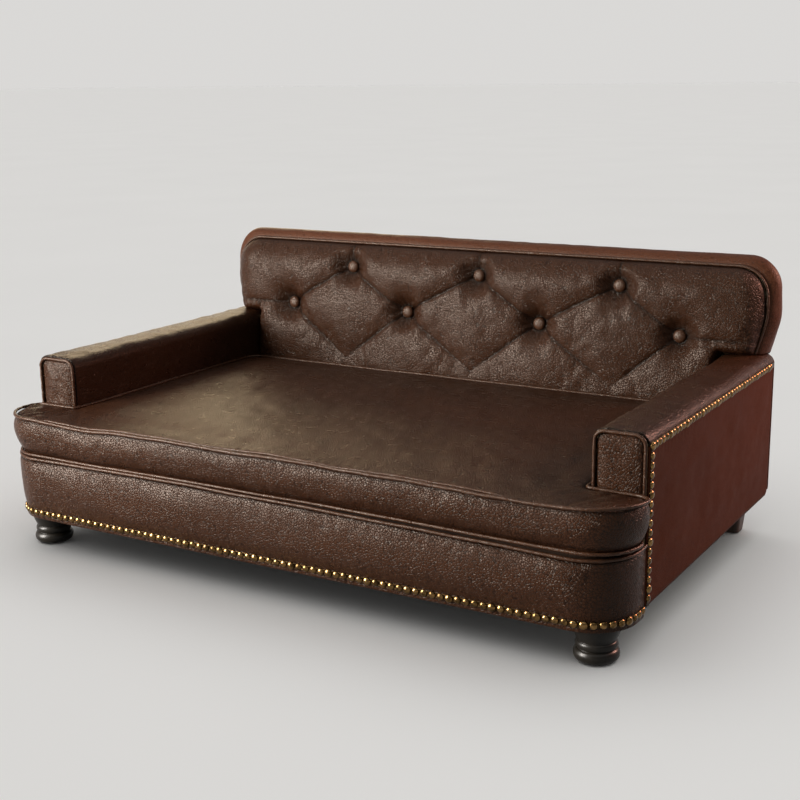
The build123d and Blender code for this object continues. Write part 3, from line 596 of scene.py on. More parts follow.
carried = {
    "seat_deck": stained_edge, "nose_floor": plywood_x, "back_board": plywood_x, "centre_rail": plywood_y,
    "left_side_board": plywood_y, "right_side_board": plywood_y, "left_arm_inner_board": plywood_y,
    "right_arm_inner_board": plywood_y, "left_arm_top_board": plywood_y, "right_arm_top_board": plywood_y,
    "left_arm_front_board": plywood_z, "right_arm_front_board": plywood_z, "left_deck_cleat": plywood_y,
    "right_deck_cleat": plywood_y, "rear_deck_cleats": plywood_x, "corner_block_front_left": plywood_z,
    "corner_block_front_right": plywood_z, "corner_block_rear_left": plywood_z,
    "corner_block_rear_right": plywood_z, "nose_apron": fibreboard, "left_arm_foam": foam,
    "right_arm_foam": foam, "back_foam": foam, "back_rear_foam": foam, "cushion_foam": foam,
    "dust_cover": lining, "deck_cover": deck_cloth, "button_ties": tie_cord, "foot_bolts": steel,
    "tee_nuts": steel, "foot_glides": glide,
}
for node_name, material in carried.items():
    dress(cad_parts[node_name], material)


def worn(node_name, material, name, width):
    """A CAD node in its material, with its edges a little rounded."""
    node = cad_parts[node_name]
    dress(node, material)
    bevel = node.modifiers.new(name, "BEVEL")
    bevel.width = width
    bevel.segments = 2


def stands_for(obj, material, node, body):
    """Gives a piece its material and body, and hides the CAD node that it stands for."""
    dress(obj, material)
    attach(obj, body)
    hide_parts(node)


# Camera, as fitted to the photograph, with its light and floor

SENSOR = 36.0
FOCAL_PIXELS = 1348.44
PICTURE_PIXELS = 800
CAMERA_HEADING, CAMERA_DIP, CAMERA_ROLL = 0.540555, 0.239143, -0.0139938
camera_data = bpy.data.cameras.new("camera")
camera_data.sensor_width = SENSOR
camera_data.lens = SENSOR * FOCAL_PIXELS / PICTURE_PIXELS
camera_data.clip_start = 0.05
camera = bpy.data.objects.new("camera", camera_data)
scene.collection.objects.link(camera)
turn = Matrix.Rotation(CAMERA_HEADING, 4, "Z") @ Matrix.Rotation(math.pi / 2 - CAMERA_DIP, 4, "X")
turn = turn @ Matrix.Rotation(CAMERA_ROLL, 4, "Z")
camera.matrix_world = Matrix.Translation((1.0602, -1.505263 + ARM_FRONT / 1000, 0.717788)) @ turn
scene.camera = camera
scene.view_settings.view_transform = "Standard"

floor_mesh = bpy.data.meshes.new("floor")
floor_mesh.from_pydata([(-60, -60, 0), (60, -60, 0), (60, 60, 0), (-60, 60, 0)], [], [(0, 1, 2, 3)])
floor = bpy.data.objects.new("floor", floor_mesh)
scene.collection.objects.link(floor)
floor_material, floor_tree, floor_shader, floor_place = nodes_of("pale_floor")
floor_tone = noise_of(floor_tree, floor_place, 1.5, 2.0)
set_inputs(floor_tree, floor_shader, {
    "Base Color": mix_of(floor_tree, floor_tone, (0.86, 0.86, 0.855), (0.9, 0.9, 0.895)),
    "Roughness": 0.75,
})
floor_mesh.materials.append(floor_material)

world = bpy.data.worlds.new("studio")
scene.world = world
world.use_nodes = True
sky = world.node_tree
direction = sky.nodes.new("ShaderNodeTexCoord").outputs["Generated"]
split = sky.nodes.new("ShaderNodeSeparateXYZ")
sky.links.new(direction, split.inputs[0])
ramp = sky.nodes.new("ShaderNodeValToRGB")
sky.links.new(split.outputs["Z"], ramp.inputs[0])
SKY = [(0.0, 0.56), (0.09, 0.56), (0.19, 0.19), (0.5, 0.22), (0.8, 0.95)]
while len(ramp.color_ramp.elements) < len(SKY):
    ramp.color_ramp.elements.new(0.5)
for element, (height, bright) in zip(ramp.color_ramp.elements, SKY):
    element.position = height
    element.color = (bright, bright * 0.985, bright * 0.965, 1)
sky.links.new(ramp.outputs["Color"], sky.nodes["Background"].inputs["Color"])
sky.nodes["Background"].inputs["Strength"].default_value = 1.25


not_the_floor = bpy.data.collections.new("not_the_floor")
not_the_floor.objects.link(floor)
not_the_floor.collection_objects[0].light_linking.link_state = "EXCLUDE"


def area_light(name, place, aim, size, power, colour=(1, 1, 1)):
    data = bpy.data.lights.new(name, "AREA")
    data.shape = "RECTANGLE"
    data.size, data.size_y = size
    data.energy = power
    data.color = colour
    light = bpy.data.objects.new(name, data)
    scene.collection.objects.link(light)
    light.visible_camera = False
    light.light_linking.receiver_collection = not_the_floor
    light.location = place
    light.rotation_euler = (Vector(aim) - Vector(place)).to_track_quat("-Z", "Y").to_euler()


area_light("rear_window", (-2.15, 2.3, 1.22), (-0.1, 0.0, 0.2), (1.4, 1.1), 21, (1.0, 0.77, 0.46))
area_light("front_window", (-1.55, -1.85, 0.86), (-0.1, -0.2, 0.2), (1.05, 1.55), 295, (1.0, 0.95, 0.89))
area_light("right_glow", (1.15, 0.75, 0.75), (0.5, 0.15, 0.25), (0.4, 0.4), 24, (1.0, 0.50, 0.39))


# Seat cushion

def tee_outline(inset, draw=0.0):
    held = max(inset, 0.0)
    front = CUSHION_FRONT + inset + draw
    ear_back = ARM_FRONT - 10.0 - held
    rear = CUSHION_REAR - held
    ear = EAR - inset - draw
    body = ARM_INNER - 3.0 - held
    corner = 68.0 - inset - draw
    points = [(-ear, front), (0, front + 12.0), (ear, front), (ear, ear_back), (body, ear_back),
              (body, rear), (-body, rear), (-body, ear_back), (-ear, ear_back)]
    radii = [corner, 15000, corner, 20 - held, 5 + held, 24 - held, 24 - held, 5 + held, 20 - held]
    return rounded_path(points, radii, closed=True)


def cushion_drift(points):
    """The small unevenness of the whole cushion, seams and cover alike; it lies a little to the right."""
    flat = points[:, :2] * [1.0, 0.6]
    moved = points.copy()
    front = smooth_step(-points[:, 1], -ARM_FRONT - 60, -ARM_FRONT + 60)
    free = np.clip((points[:, 2] - SEAT) / 22, 0.15, 1)
    moved[:, 2] += free * (0.8 * waves(flat, 190, 11) + 0.35 * waves(flat, 70, 12)) * (0.35 + 0.65 * front)
    moved[:, 1] += 0.8 * waves(flat, 230, 13) * front
    moved[:, 0] += 4.0 * smooth_step(np.abs(points[:, 0]), 300, 480) * smooth_step(
        -points[:, 1], -ARM_FRONT + 6, -ARM_FRONT + 20)
    return moved


def seat_height(flat, away):
    """How high the top lies: below its welt at the seam, crowned between the arms, slack on the ears."""
    inward = np.minimum(ARM_INNER - np.abs(flat[:, 0]), np.minimum(
        flat[:, 1] - CUSHION_FRONT, CUSHION_REAR - flat[:, 1]))
    crown = 2.2 * rise(away, 5, 24) + 9.0 * rise(inward, 50, 52)
    ear = smooth_step(np.abs(flat[:, 0]), 395, 452)
    ear *= smooth_step(-flat[:, 1], -ARM_FRONT - 8, -ARM_FRONT + 26)
    slack = -2.4 * rise(away, 4, 10)
    return 211.3 + crown * (1 - ear) + slack * ear, ear


def make_cushion():
    levels = [(14.0, LOW_DRAW, 151.5), (5.0, LOW_DRAW, 151.6), (0.0, LOW_DRAW, 159.5), (-1.4, 5.6, 166.0),
              (-2.6, 3.0, 174.0), (-3.0, 1.0, 183.0), (-2.6, 0.0, 192.0), (-1.4, 0.0, 200.0),
              (0.0, 0.0, 206.5), (5.0, 0.0, 211.4), (26.0, 0.0, 211.6)]
    count = 900
    rings = []
    for inset, draw, z in levels:
        flat = resample(tee_outline(inset, draw), count, closed=True)[0]
        rings.append(np.column_stack([flat, np.full(count, z)]))
    points = np.vstack(rings)
    faces = [tuple(q) for q in grid_quads(len(levels), count, wrap=True)]
    faces.append(tuple(range(count))[::-1])
    faces.append(tuple((len(levels) - 1) * count + k for k in range(count)))
    obj = piece("seat_cushion_cover", points, faces)
    remesh = obj.modifiers.new("even", "REMESH")
    remesh.mode = "VOXEL"
    remesh.voxel_size = 0.006
    evaluated = obj.evaluated_get(bpy.context.evaluated_depsgraph_get())
    mesh = bpy.data.meshes.new_from_object(evaluated)
    obj.modifiers.clear()
    obj.data = mesh
    co = coordinates(obj)
    no = normals(obj)
    outline = resample(tee_outline(0.0), 1600, closed=True)[0]
    low_outline = resample(tee_outline(0.0, LOW_DRAW), 1600, closed=True)[0]
    away = nearest(co[:, :2], outline)
    top = (co[:, 2] > 208) & (no[:, 2] > 0.5) & (away > 5)
    rest_height = seat_height(co[:, :2], away)[0] - 2.6 * rise(away, 6, 16)
    co[top, 2] = rest_height[top]
    move_to(obj, co)
    bottom = co[:, 2] < 154.5
    low_seam = (np.abs(co[:, 2] - 158.5) < 4.0) & (nearest(co[:, :2], low_outline) < 7)
    top_seam = (np.abs(co[:, 2] - 209.5) < 4.2) & (away < 7)
    inflate(obj, bottom | low_seam | top_seam, 4.5, pressure=4.5, frames=18, slack=0.004)
    subdivide(obj)
    co = coordinates(obj)
    away = nearest(co[:, :2], outline)
    no = normals(obj)
    on_top = smooth_step(co[:, 2], 206.5, 209) * smooth_step(no[:, 2], 0.3, 0.8)
    on_side = 1 - smooth_step(np.abs(no[:, 2]), 0.4, 0.8)
    ear = seat_height(co[:, :2], away)[1]
    # Sunk beside the welt, with slack folds on the ears and small puckers along the seams
    shift = -on_top * 1.1 * bell(away, 4.5, 3.0)
    uneven = 0.8 * waves(co[:, :2], 150, 21) + 0.3 * waves(co[:, :2], 44, 22)
    shift += on_top * uneven * smooth_step(away, 8, 50)
    folds = co[:, :2] @ np.array([[0.90, 0.42], [-0.42, 0.90]])
    inside = smooth_step(away, 4, 14)
    loose = on_top * ear * inside * np.where(co[:, 0] < 0, 1.0, 0.45)
    shift += loose * (1.5 * waves(folds * [1.0, 0.22], 30, 23) + 0.6 * waves(folds * [1.0, 0.25], 13, 24))
    pucker = np.exp(-np.maximum(away - 5, 0) / 9)
    along = np.where(np.abs(no[:, 0]) > np.abs(no[:, 1]), co[:, 1], co[:, 0])
    shift += on_top * inside * pucker * 0.45 * waves(along[:, None], 16, 25)
    seam_near = bell(co[:, 2], 203, 6) + bell(co[:, 2], 164, 6)
    uneven = 0.4 * waves(co * [1, 1, 2.5], 90, 26) + seam_near * 0.18 * waves(along[:, None], 15, 27)
    shift += on_side * uneven
    co = co + no * shift[:, None]
    rear = (co[:, 1] > CUSHION_REAR - 3) & (on_side > 0.5)
    co[rear, 1] = np.minimum(co[rear, 1], CUSHION_REAR - 0.2)
    body_side = (np.abs(co[:, 0]) < ARM_INNER + 4) & (co[:, 1] > ARM_FRONT - 6)
    limit = ARM_INNER - 1.8
    co[body_side, 0] = np.clip(co[body_side, 0], -limit, limit)
    behind = (np.abs(co[:, 0]) > ARM_INNER - 1) & (co[:, 1] > ARM_FRONT - 60)
    co[behind, 1] = np.minimum(co[behind, 1], ARM_FRONT - 9.2)
    # Painted shade: the cover is darkened in the grooves beside its welts
    painted_groove_shade = bell(away, 4.5, 2.4) * on_top
    painted_groove_shade += on_side * bell(co[:, 2], 206.0, 1.8) * 0.8
    painted_groove_shade += on_side * bell(co[:, 2], 160.0, 1.8) * 0.8
    co = cushion_drift(co)
    co[:, 2] = np.maximum(co[:, 2], SEAT)
    move_to(obj, co)
    shade_attribute(obj, painted_groove_shade * 0.8)
    stands_for(obj, tufted, "cushion_cover", "seat_cushion")
    return obj


cushion = make_cushion()
cushion_tree = BVHTree.FromObject(cushion, bpy.context.evaluated_depsgraph_get())


def make_cushion_welts():
    for name, inset, draw, z, seed in (
            ("cushion_top_welt", 0.66, 0.0, 210.84, 31), ("cushion_bottom_welt", 0.29, LOW_DRAW, 154.12, 33)):
        flat = resample(tee_outline(inset, draw), 1500, closed=True)[0]
        path = cushion_drift(np.column_stack([flat, np.full(len(flat), z)]))
        welt = tube(name + "_cord", path, WELT, closed=True, seed=seed)
        stands_for(welt, welt_leather, name, "seat_cushion")
    # The tuck that runs just inside the front's top welt and dies away before the ears
    flat = resample(tee_outline(8.2), 1500, closed=True)[0]
    flat = flat[(flat[:, 1] < ARM_FRONT - 70) & (flat[:, 0] > -445) & (flat[:, 0] < 385)]
    flat = flat[np.argsort(flat[:, 0])]
    path = []
    for x, y in flat:
        hit = cushion_tree.ray_cast(Vector((x / 1000, y / 1000, 0.3)), Vector((0, 0, -1)))[0]
        path.append((x, y, hit.z * 1000 + 0.9))
    path = np.array(path)
    for _ in range(8):
        path[1:-1, 2] = (path[:-2, 2] + path[1:-1, 2] * 2 + path[2:, 2]) / 4
    ends = smooth_step(path[:, 0], -445, -400) * smooth_step(-path[:, 0], -385, -330)
    path[:, 2] -= 4.2 * (1 - ends)
    ridge = tube("cushion_top_seam_tuck", path, 2.3, seed=35)
    dress(ridge, welt_leather)
    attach(ridge, "seat_cushion")


make_cushion_welts()


# Front skirt

def nose_outline(grow, end_grow=0.0):
    back = ARM_FRONT - 0.3
    front = NOSE_FRONT - grow
    end = NOSE_HALF + end_grow
    reach = NOSE_HALF + grow
    corner = NOSE_CORNER + grow
    return rounded_path([(-end, back), (-reach, front), (reach, front), (end, back)], [0, corner, corner, 0])


def skirt_rise(x):
    places = [-514, -400, -300, -150, 0, 150, 250, 350, 440, 514]
    rises = [0.0, 1.2, 2.4, 3.2, 2.6, 1.2, 0.0, -1.6, -3.0, -3.4]
    return np.interp(x, places, rises)


def make_skirt():
    count = 420
    knots_z = [146.0, 145.6, 144.0, 140.0, 134.0, 126.0, 116.0, 106.0, 96.0,
               88.0, 80.0, 74.0, 69.0, 66.0, 60.0, 54.0, 50.6, 50.0]
    knots_out = [1.5, 5.2, 7.8, 9.8, 10.8, 11.2, 11.0, 10.4, 9.3,
                 7.8, 5.6, 3.4, 1.3, 0.2, -0.2, -0.1, -0.6, -1.8]
    rows = []
    for grow, z in zip(knots_out, knots_z):
        flat = resample(nose_outline(grow), count)[0]
        rows.append(np.column_stack([flat, np.full(count, z)]))
    inner = [(-4.6, 50.0), (-4.8, 56.0), (-4.8, 61.9), (-9.8, 62.3),
             (-9.8, 90.0), (-9.8, 120.0), (-9.8, 145.4), (-5.0, 146.0)]
    for grow, z in inner:
        flat = resample(nose_outline(grow, grow), count)[0]
        rows.append(np.column_stack([flat, np.full(count, z)]))
    points = np.array(rows)
    total = len(rows)
    closed = np.concatenate([points, points[:1]])
    quads = grid_quads(total + 1, count) % (total * count)
    faces = [tuple(q) for q in quads]
    faces.append(tuple(k * count for k in range(total)))
    faces.append(tuple(k * count + count - 1 for k in range(total))[::-1])
    obj = piece("skirt_cover_padded", closed[:-1].reshape(-1, 3), faces)
    outer = np.zeros((total, count), bool)
    outer[2:12, 3:-3] = True
    inflate(obj, ~outer.ravel(), 3.0, pressure=2.5, frames=14, slack=0.003)
    co = coordinates(obj)
    no = normals(obj)
    row = np.repeat(np.arange(total), count)
    face = (row >= 1) & (row <= 15)
    puff = smooth_step(co[:, 2], 64, 84) * (1 - smooth_step(co[:, 2], 142, 147))
    ends = smooth_step(np.abs(co[:, 1] - ARM_FRONT), 0, 30)
    along = np.tile(np.linspace(0, 1190, count), total)
    shift = puff * (0.5 * waves(co * [1, 1, 2.2], 120, 41) + 0.12 * waves(co * [1, 1, 1.6], 40, 42))
    shift += puff * 0.16 * bell(co[:, 2], 139, 6) * waves(along[:, None], 22, 43)
    shift += puff * 0.35 * bell(co[:, 2], 72, 8) * np.cos(along * 2 * math.pi / NAIL_PITCH)
    shift += 0.6 * bell(co[:, 2], 53, 3) * np.cos(along * 2 * math.pi / NAIL_PITCH)
    co = co + no * (shift * face * ends)[:, None]
    co[:, 2] += skirt_rise(co[:, 0]) * smooth_step(co[:, 2], 96, 146)
    move_to(obj, co)
    subdivide(obj)
    co = coordinates(obj)
    # Painted shade: darker just under the welt and along the fold above the nails
    under_welt = co[:, 2] - 145 - skirt_rise(co[:, 0])
    shade_attribute(obj, bell(under_welt, 0, 2.0) * 0.7 + bell(co[:, 2], 66.5, 1.8) * 0.5)
    stands_for(obj, tufted, "skirt_cover", "base")
    flat = resample(nose_outline(8.0 - WELT - 0.2), 620)[0]
    path = np.column_stack([flat, 148.5 + skirt_rise(flat[:, 0]) + 0.35 * waves(flat, 160, 44)])
    welt = tube("skirt_welt_cord", path, WELT, seed=45)
    stands_for(welt, welt_leather, "skirt_welt", "base")


make_skirt()


# Arms

def make_arms():
    top, under = (
        rounded_path([(ARM_INNER + depth, DECK_TOP), (ARM_INNER + depth, ARM_TOP - depth),
                      (HALF - depth, ARM_TOP - depth), (HALF - depth, NAIL_ROW)],
                     [0, 16 - depth, 16 - depth, 0], step=0.6)
        for depth in (0, 3))
    across = 76
    outer, tangent, _, _ = resample(top, across)
    inner = resample(under, across)[0]
    out_dir = np.column_stack([-tangent[:, 1], tangent[:, 0]])
    depth = np.concatenate([
        np.linspace(0, 6, 4), np.linspace(10, 515, 128), [520.8, 526.0, 533.0]]) + ARM_FRONT
    for side, side_name in ((1, "right"), (-1, "left")):
        front = np.empty((len(depth), across, 3))
        back = np.empty_like(front)
        for i, y in enumerate(depth):
            front[i] = np.column_stack([outer[:, 0], np.full(across, y), outer[:, 1]])
            back[i] = np.column_stack([inner[:, 0], np.full(across, y), inner[:, 1]])
        flat = front.reshape(-1, 3)
        push = np.column_stack([out_dir[:, 0], np.zeros(across), out_dir[:, 1]])
        push = np.tile(push, (len(depth), 1))
        level = flat[:, 2]
        on_top = smooth_step(level, 276, 286)
        middle = bell(flat[:, 0], 472, 26)
        seed = 50 if side > 0 else 60
        shift = on_top * (1.9 * middle - 0.2)
        shift += on_top * (0.5 * waves(flat * [1.5, 1, 1], 95, seed) + 0.25 * waves(flat, 30, seed + 1))
        inner_side = (1 - on_top) * (flat[:, 0] < ARM_INNER + 8)
        shift += inner_side * (0.25 * waves(flat, 90, seed + 2)) * smooth_step(level, 215, 235)
        near_front = np.exp(-(flat[:, 1] - ARM_FRONT) / 14)
        around = np.tile(np.arange(across), len(depth)) * 4.0
        shift += on_top * near_front * 0.7 * waves(np.column_stack([around, flat[:, 1] * 0.3]), 17, seed + 3)
        shift *= smooth_step(level, DECK_TOP, DECK_TOP + 8)
        nails = bell(level, NAIL_ROW, 7) * (flat[:, 0] > HALF - 8)
        shift = shift * (1 - nails) - 0.15 * nails
        flat = flat + push * shift[:, None]
        front = flat.reshape(front.shape)
        quads = grid_quads(len(depth), across)
        row, col = quads[:, 0] // across, quads[:, 0] % across
        hidden = (depth[row] > ARM_FRONT + 520.0) & (outer[col, 0] < 481.0)
        quads = quads[~hidden]
        front[..., 0] *= side
        back[..., 0] *= side
        obj = closed_sheet(side_name + "_arm_leather", front, back, quads)
        co = coordinates(obj)
        # Painted shade: the cover is darkened where it meets the front panel and its welt
        painted_seam_shade = np.exp(-(co[:, 1] - ARM_FRONT) / 1.6) * 0.8
        shade_attribute(obj, painted_seam_shade)
        stands_for(obj, tufted, side_name + "_arm_cover", "base")

        # The padded front face, inside its welt
        low, high = 153.6, 282.0
        left, right = 440.6, 502.4
        corner = 12.0
        cols, rows = 34, 66
        u, v = np.meshgrid(np.linspace(left, right, cols), np.linspace(low, high, rows))
        middle, reach = (left + right) / 2, (right - left) / 2
        x, z = round_corners(u - middle, v, reach, high, corner)
        x = x + middle
        edge = np.minimum(np.minimum(u - left, right - u), high - v)
        t = np.clip(edge / 24, 0, 1)
        swell = 0.2 + 5.6 * np.power(np.clip(1 - (1 - t) ** 2, 0, 1), 0.62)
        flat3 = np.stack([x, np.zeros_like(x), z], axis=-1)
        swell += t * (0.45 * waves(flat3, 40, seed + 5) + 0.2 * waves(flat3, 16, seed + 6))
        swell += bell(edge, 5, 4) * 0.25 * waves(np.stack([x + z, x - z], axis=-1), 11, seed + 7)
        front = np.stack([x * side, ARM_FRONT + 0.6 - swell, z], axis=-1)
        back = np.stack([x * side, np.full_like(x, ARM_FRONT + 5.9), z], axis=-1)
        face = closed_sheet(side_name + "_arm_front_padded", front, back, grid_quads(rows, cols))
        co = coordinates(face)
        outline = rounded_path(
            [(left, low), (left, high), (right, high), (right, low)], [0, corner, corner, 0])
        away = nearest(np.column_stack([np.abs(co[:, 0]), co[:, 2]]), outline)
        # Painted shade: the panel is darkened along its edge beside the welt
        shade_attribute(face, bell(away, 0, 2.2) * 0.85)
        stands_for(face, tufted, side_name + "_arm_front_panel", "base")

        path = rounded_path(
            [(438.0, 153.6), (438.0, 284.6), (505.0, 284.6), (505.0, 153.6)], [0, 14, 14, 0], step=0.6)
        flat = resample(path, 190)[0]
        path = np.column_stack([flat[:, 0] * side, np.full(len(flat), ARM_FRONT - 2.6), flat[:, 1]])
        welt = tube(side_name + "_arm_front_welt_cord", path, WELT, up=(0, 1, 0), seed=seed + 8)
        stands_for(welt, welt_leather, side_name + "_arm_front_welt", "base")


make_arms()


# Side panels

def make_side_panels():
    low, high = BASE_BOTTOM, NAIL_ROW
    near, far = ARM_FRONT, BOARD_REAR
    corner = 11.0
    cols, rows = 134, 54
    y, z = np.meshgrid(np.linspace(near, far, cols), np.linspace(low, high, rows))
    # Only the lower rear corner is round
    mapped_y, down = round_corners(y, -z, far, -low, corner)
    mapped_z = -down
    for side, side_name, seed in ((1, "right", 70), (-1, "left", 75)):
        flat = np.stack([mapped_y, mapped_z], axis=-1)
        edge = np.minimum(np.minimum(y - near, high - z), np.minimum(far - y, z - low))
        inside = smooth_step(edge, 12, 60)
        bulge = inside * (0.8 + 0.55 * waves(flat, 170, seed) + 0.2 * waves(flat, 60, seed + 1))
        pull = bell(high - z, 9, 7) * 0.28 * np.cos((y - near - 6) * 2 * math.pi / NAIL_PITCH)
        pull += bell(y - near, 15, 7) * 0.28 * np.cos((high - z) * 2 * math.pi / NAIL_PITCH)
        bulge = bulge + pull - 0.9 * bell(np.minimum(far - y, z - low), 0, 2.2)
        front = np.stack([side * (HALF + bulge), mapped_y, mapped_z], axis=-1)
        back = np.stack([np.full_like(y, side * (HALF - 3.0)), mapped_y, mapped_z], axis=-1)
        obj = closed_sheet(side_name + "_side_leather", front, back, grid_quads(rows, cols))
        stands_for(obj, smooth_side, side_name + "_side_panel", "base")


make_side_panels()


# Tufted back

UPPER_BUTTONS = [(-237.0, 93.0), (15.0, 93.0), (267.0, 93.0)]
LOWER_BUTTONS = [(-363.0, 21.0), (-122.0, 21.0), (130.0, 21.0), (371.0, 21.0)]
BUTTON_SEAT = 12.0
BUTTON_RADIUS = 10.8
SEAT_DROP = (BACK_FOOT - SEAT) / math.cos(LEAN)


def back_outline(inset, height, swell=0.0, foot=0.0):
    """Up the right side, over the top and down the left side, in the back's own plane."""
    side_foot, side_waist, side_top = (half + swell - inset for half in (FOOT_HALF, WAIST_HALF, TOP_HALF))
    corner = BACK_CORNER - inset
    return rounded_path(
        [(side_foot, foot), (side_waist, WAIST_HEIGHT), (side_top, height - inset),
         (-side_top, height - inset), (-side_waist, WAIST_HEIGHT), (-side_foot, foot)],
        [0, 90, corner, corner, 90, 0])


def back_drift(points):
    """The upper back sits a few millimetres to the right, at its ends."""
    moved = points.copy()
    x = points[..., 0]
    moved[..., 0] += np.where(x < 0, 3.4, 4.6) * smooth_step(np.abs(x), 385, 470) * smooth_step(
        points[..., 2], ARM_TOP - 12, ARM_TOP + 4)
    return moved


def on_seam_plane(x, v, w):
    return (SEAM[None] + x.reshape(-1, 1) * [1.0, 0, 0] + v.reshape(-1, 1) * SEAM_UP[None]
            + w.reshape(-1, 1) * SEAM_OUT[None])


def segment_distance(x, v, a, b):
    a, b = np.array(a), np.array(b)
    d = b - a
    t = np.clip(((x - a[0]) * d[0] + (v - a[1]) * d[1]) / (d @ d), 0, 1)
    return np.hypot(x - a[0] - t * d[0], v - a[1] - t * d[1]), t


def creases():
    """Each crease as its two ends, its depth, and whether it fades at its far end."""
    found = []
    for ux, uv in UPPER_BUTTONS:
        found.append(((ux, uv), (ux, BACK_HEIGHT - 6), 0.9, False))
        for lx, lv in LOWER_BUTTONS:
            if abs(ux - lx) < 189:
                found.append(((ux, uv), (lx, lv), 1.0, False))
                found.append(((lx, lv), (ux, -SEAT_DROP * 0.5), 0.95, True))
    for lx, lv in (LOWER_BUTTONS[0], LOWER_BUTTONS[-1]):
        found.append(((lx, lv), (math.copysign(493.0, lx), lv), 0.85, True))
    return found


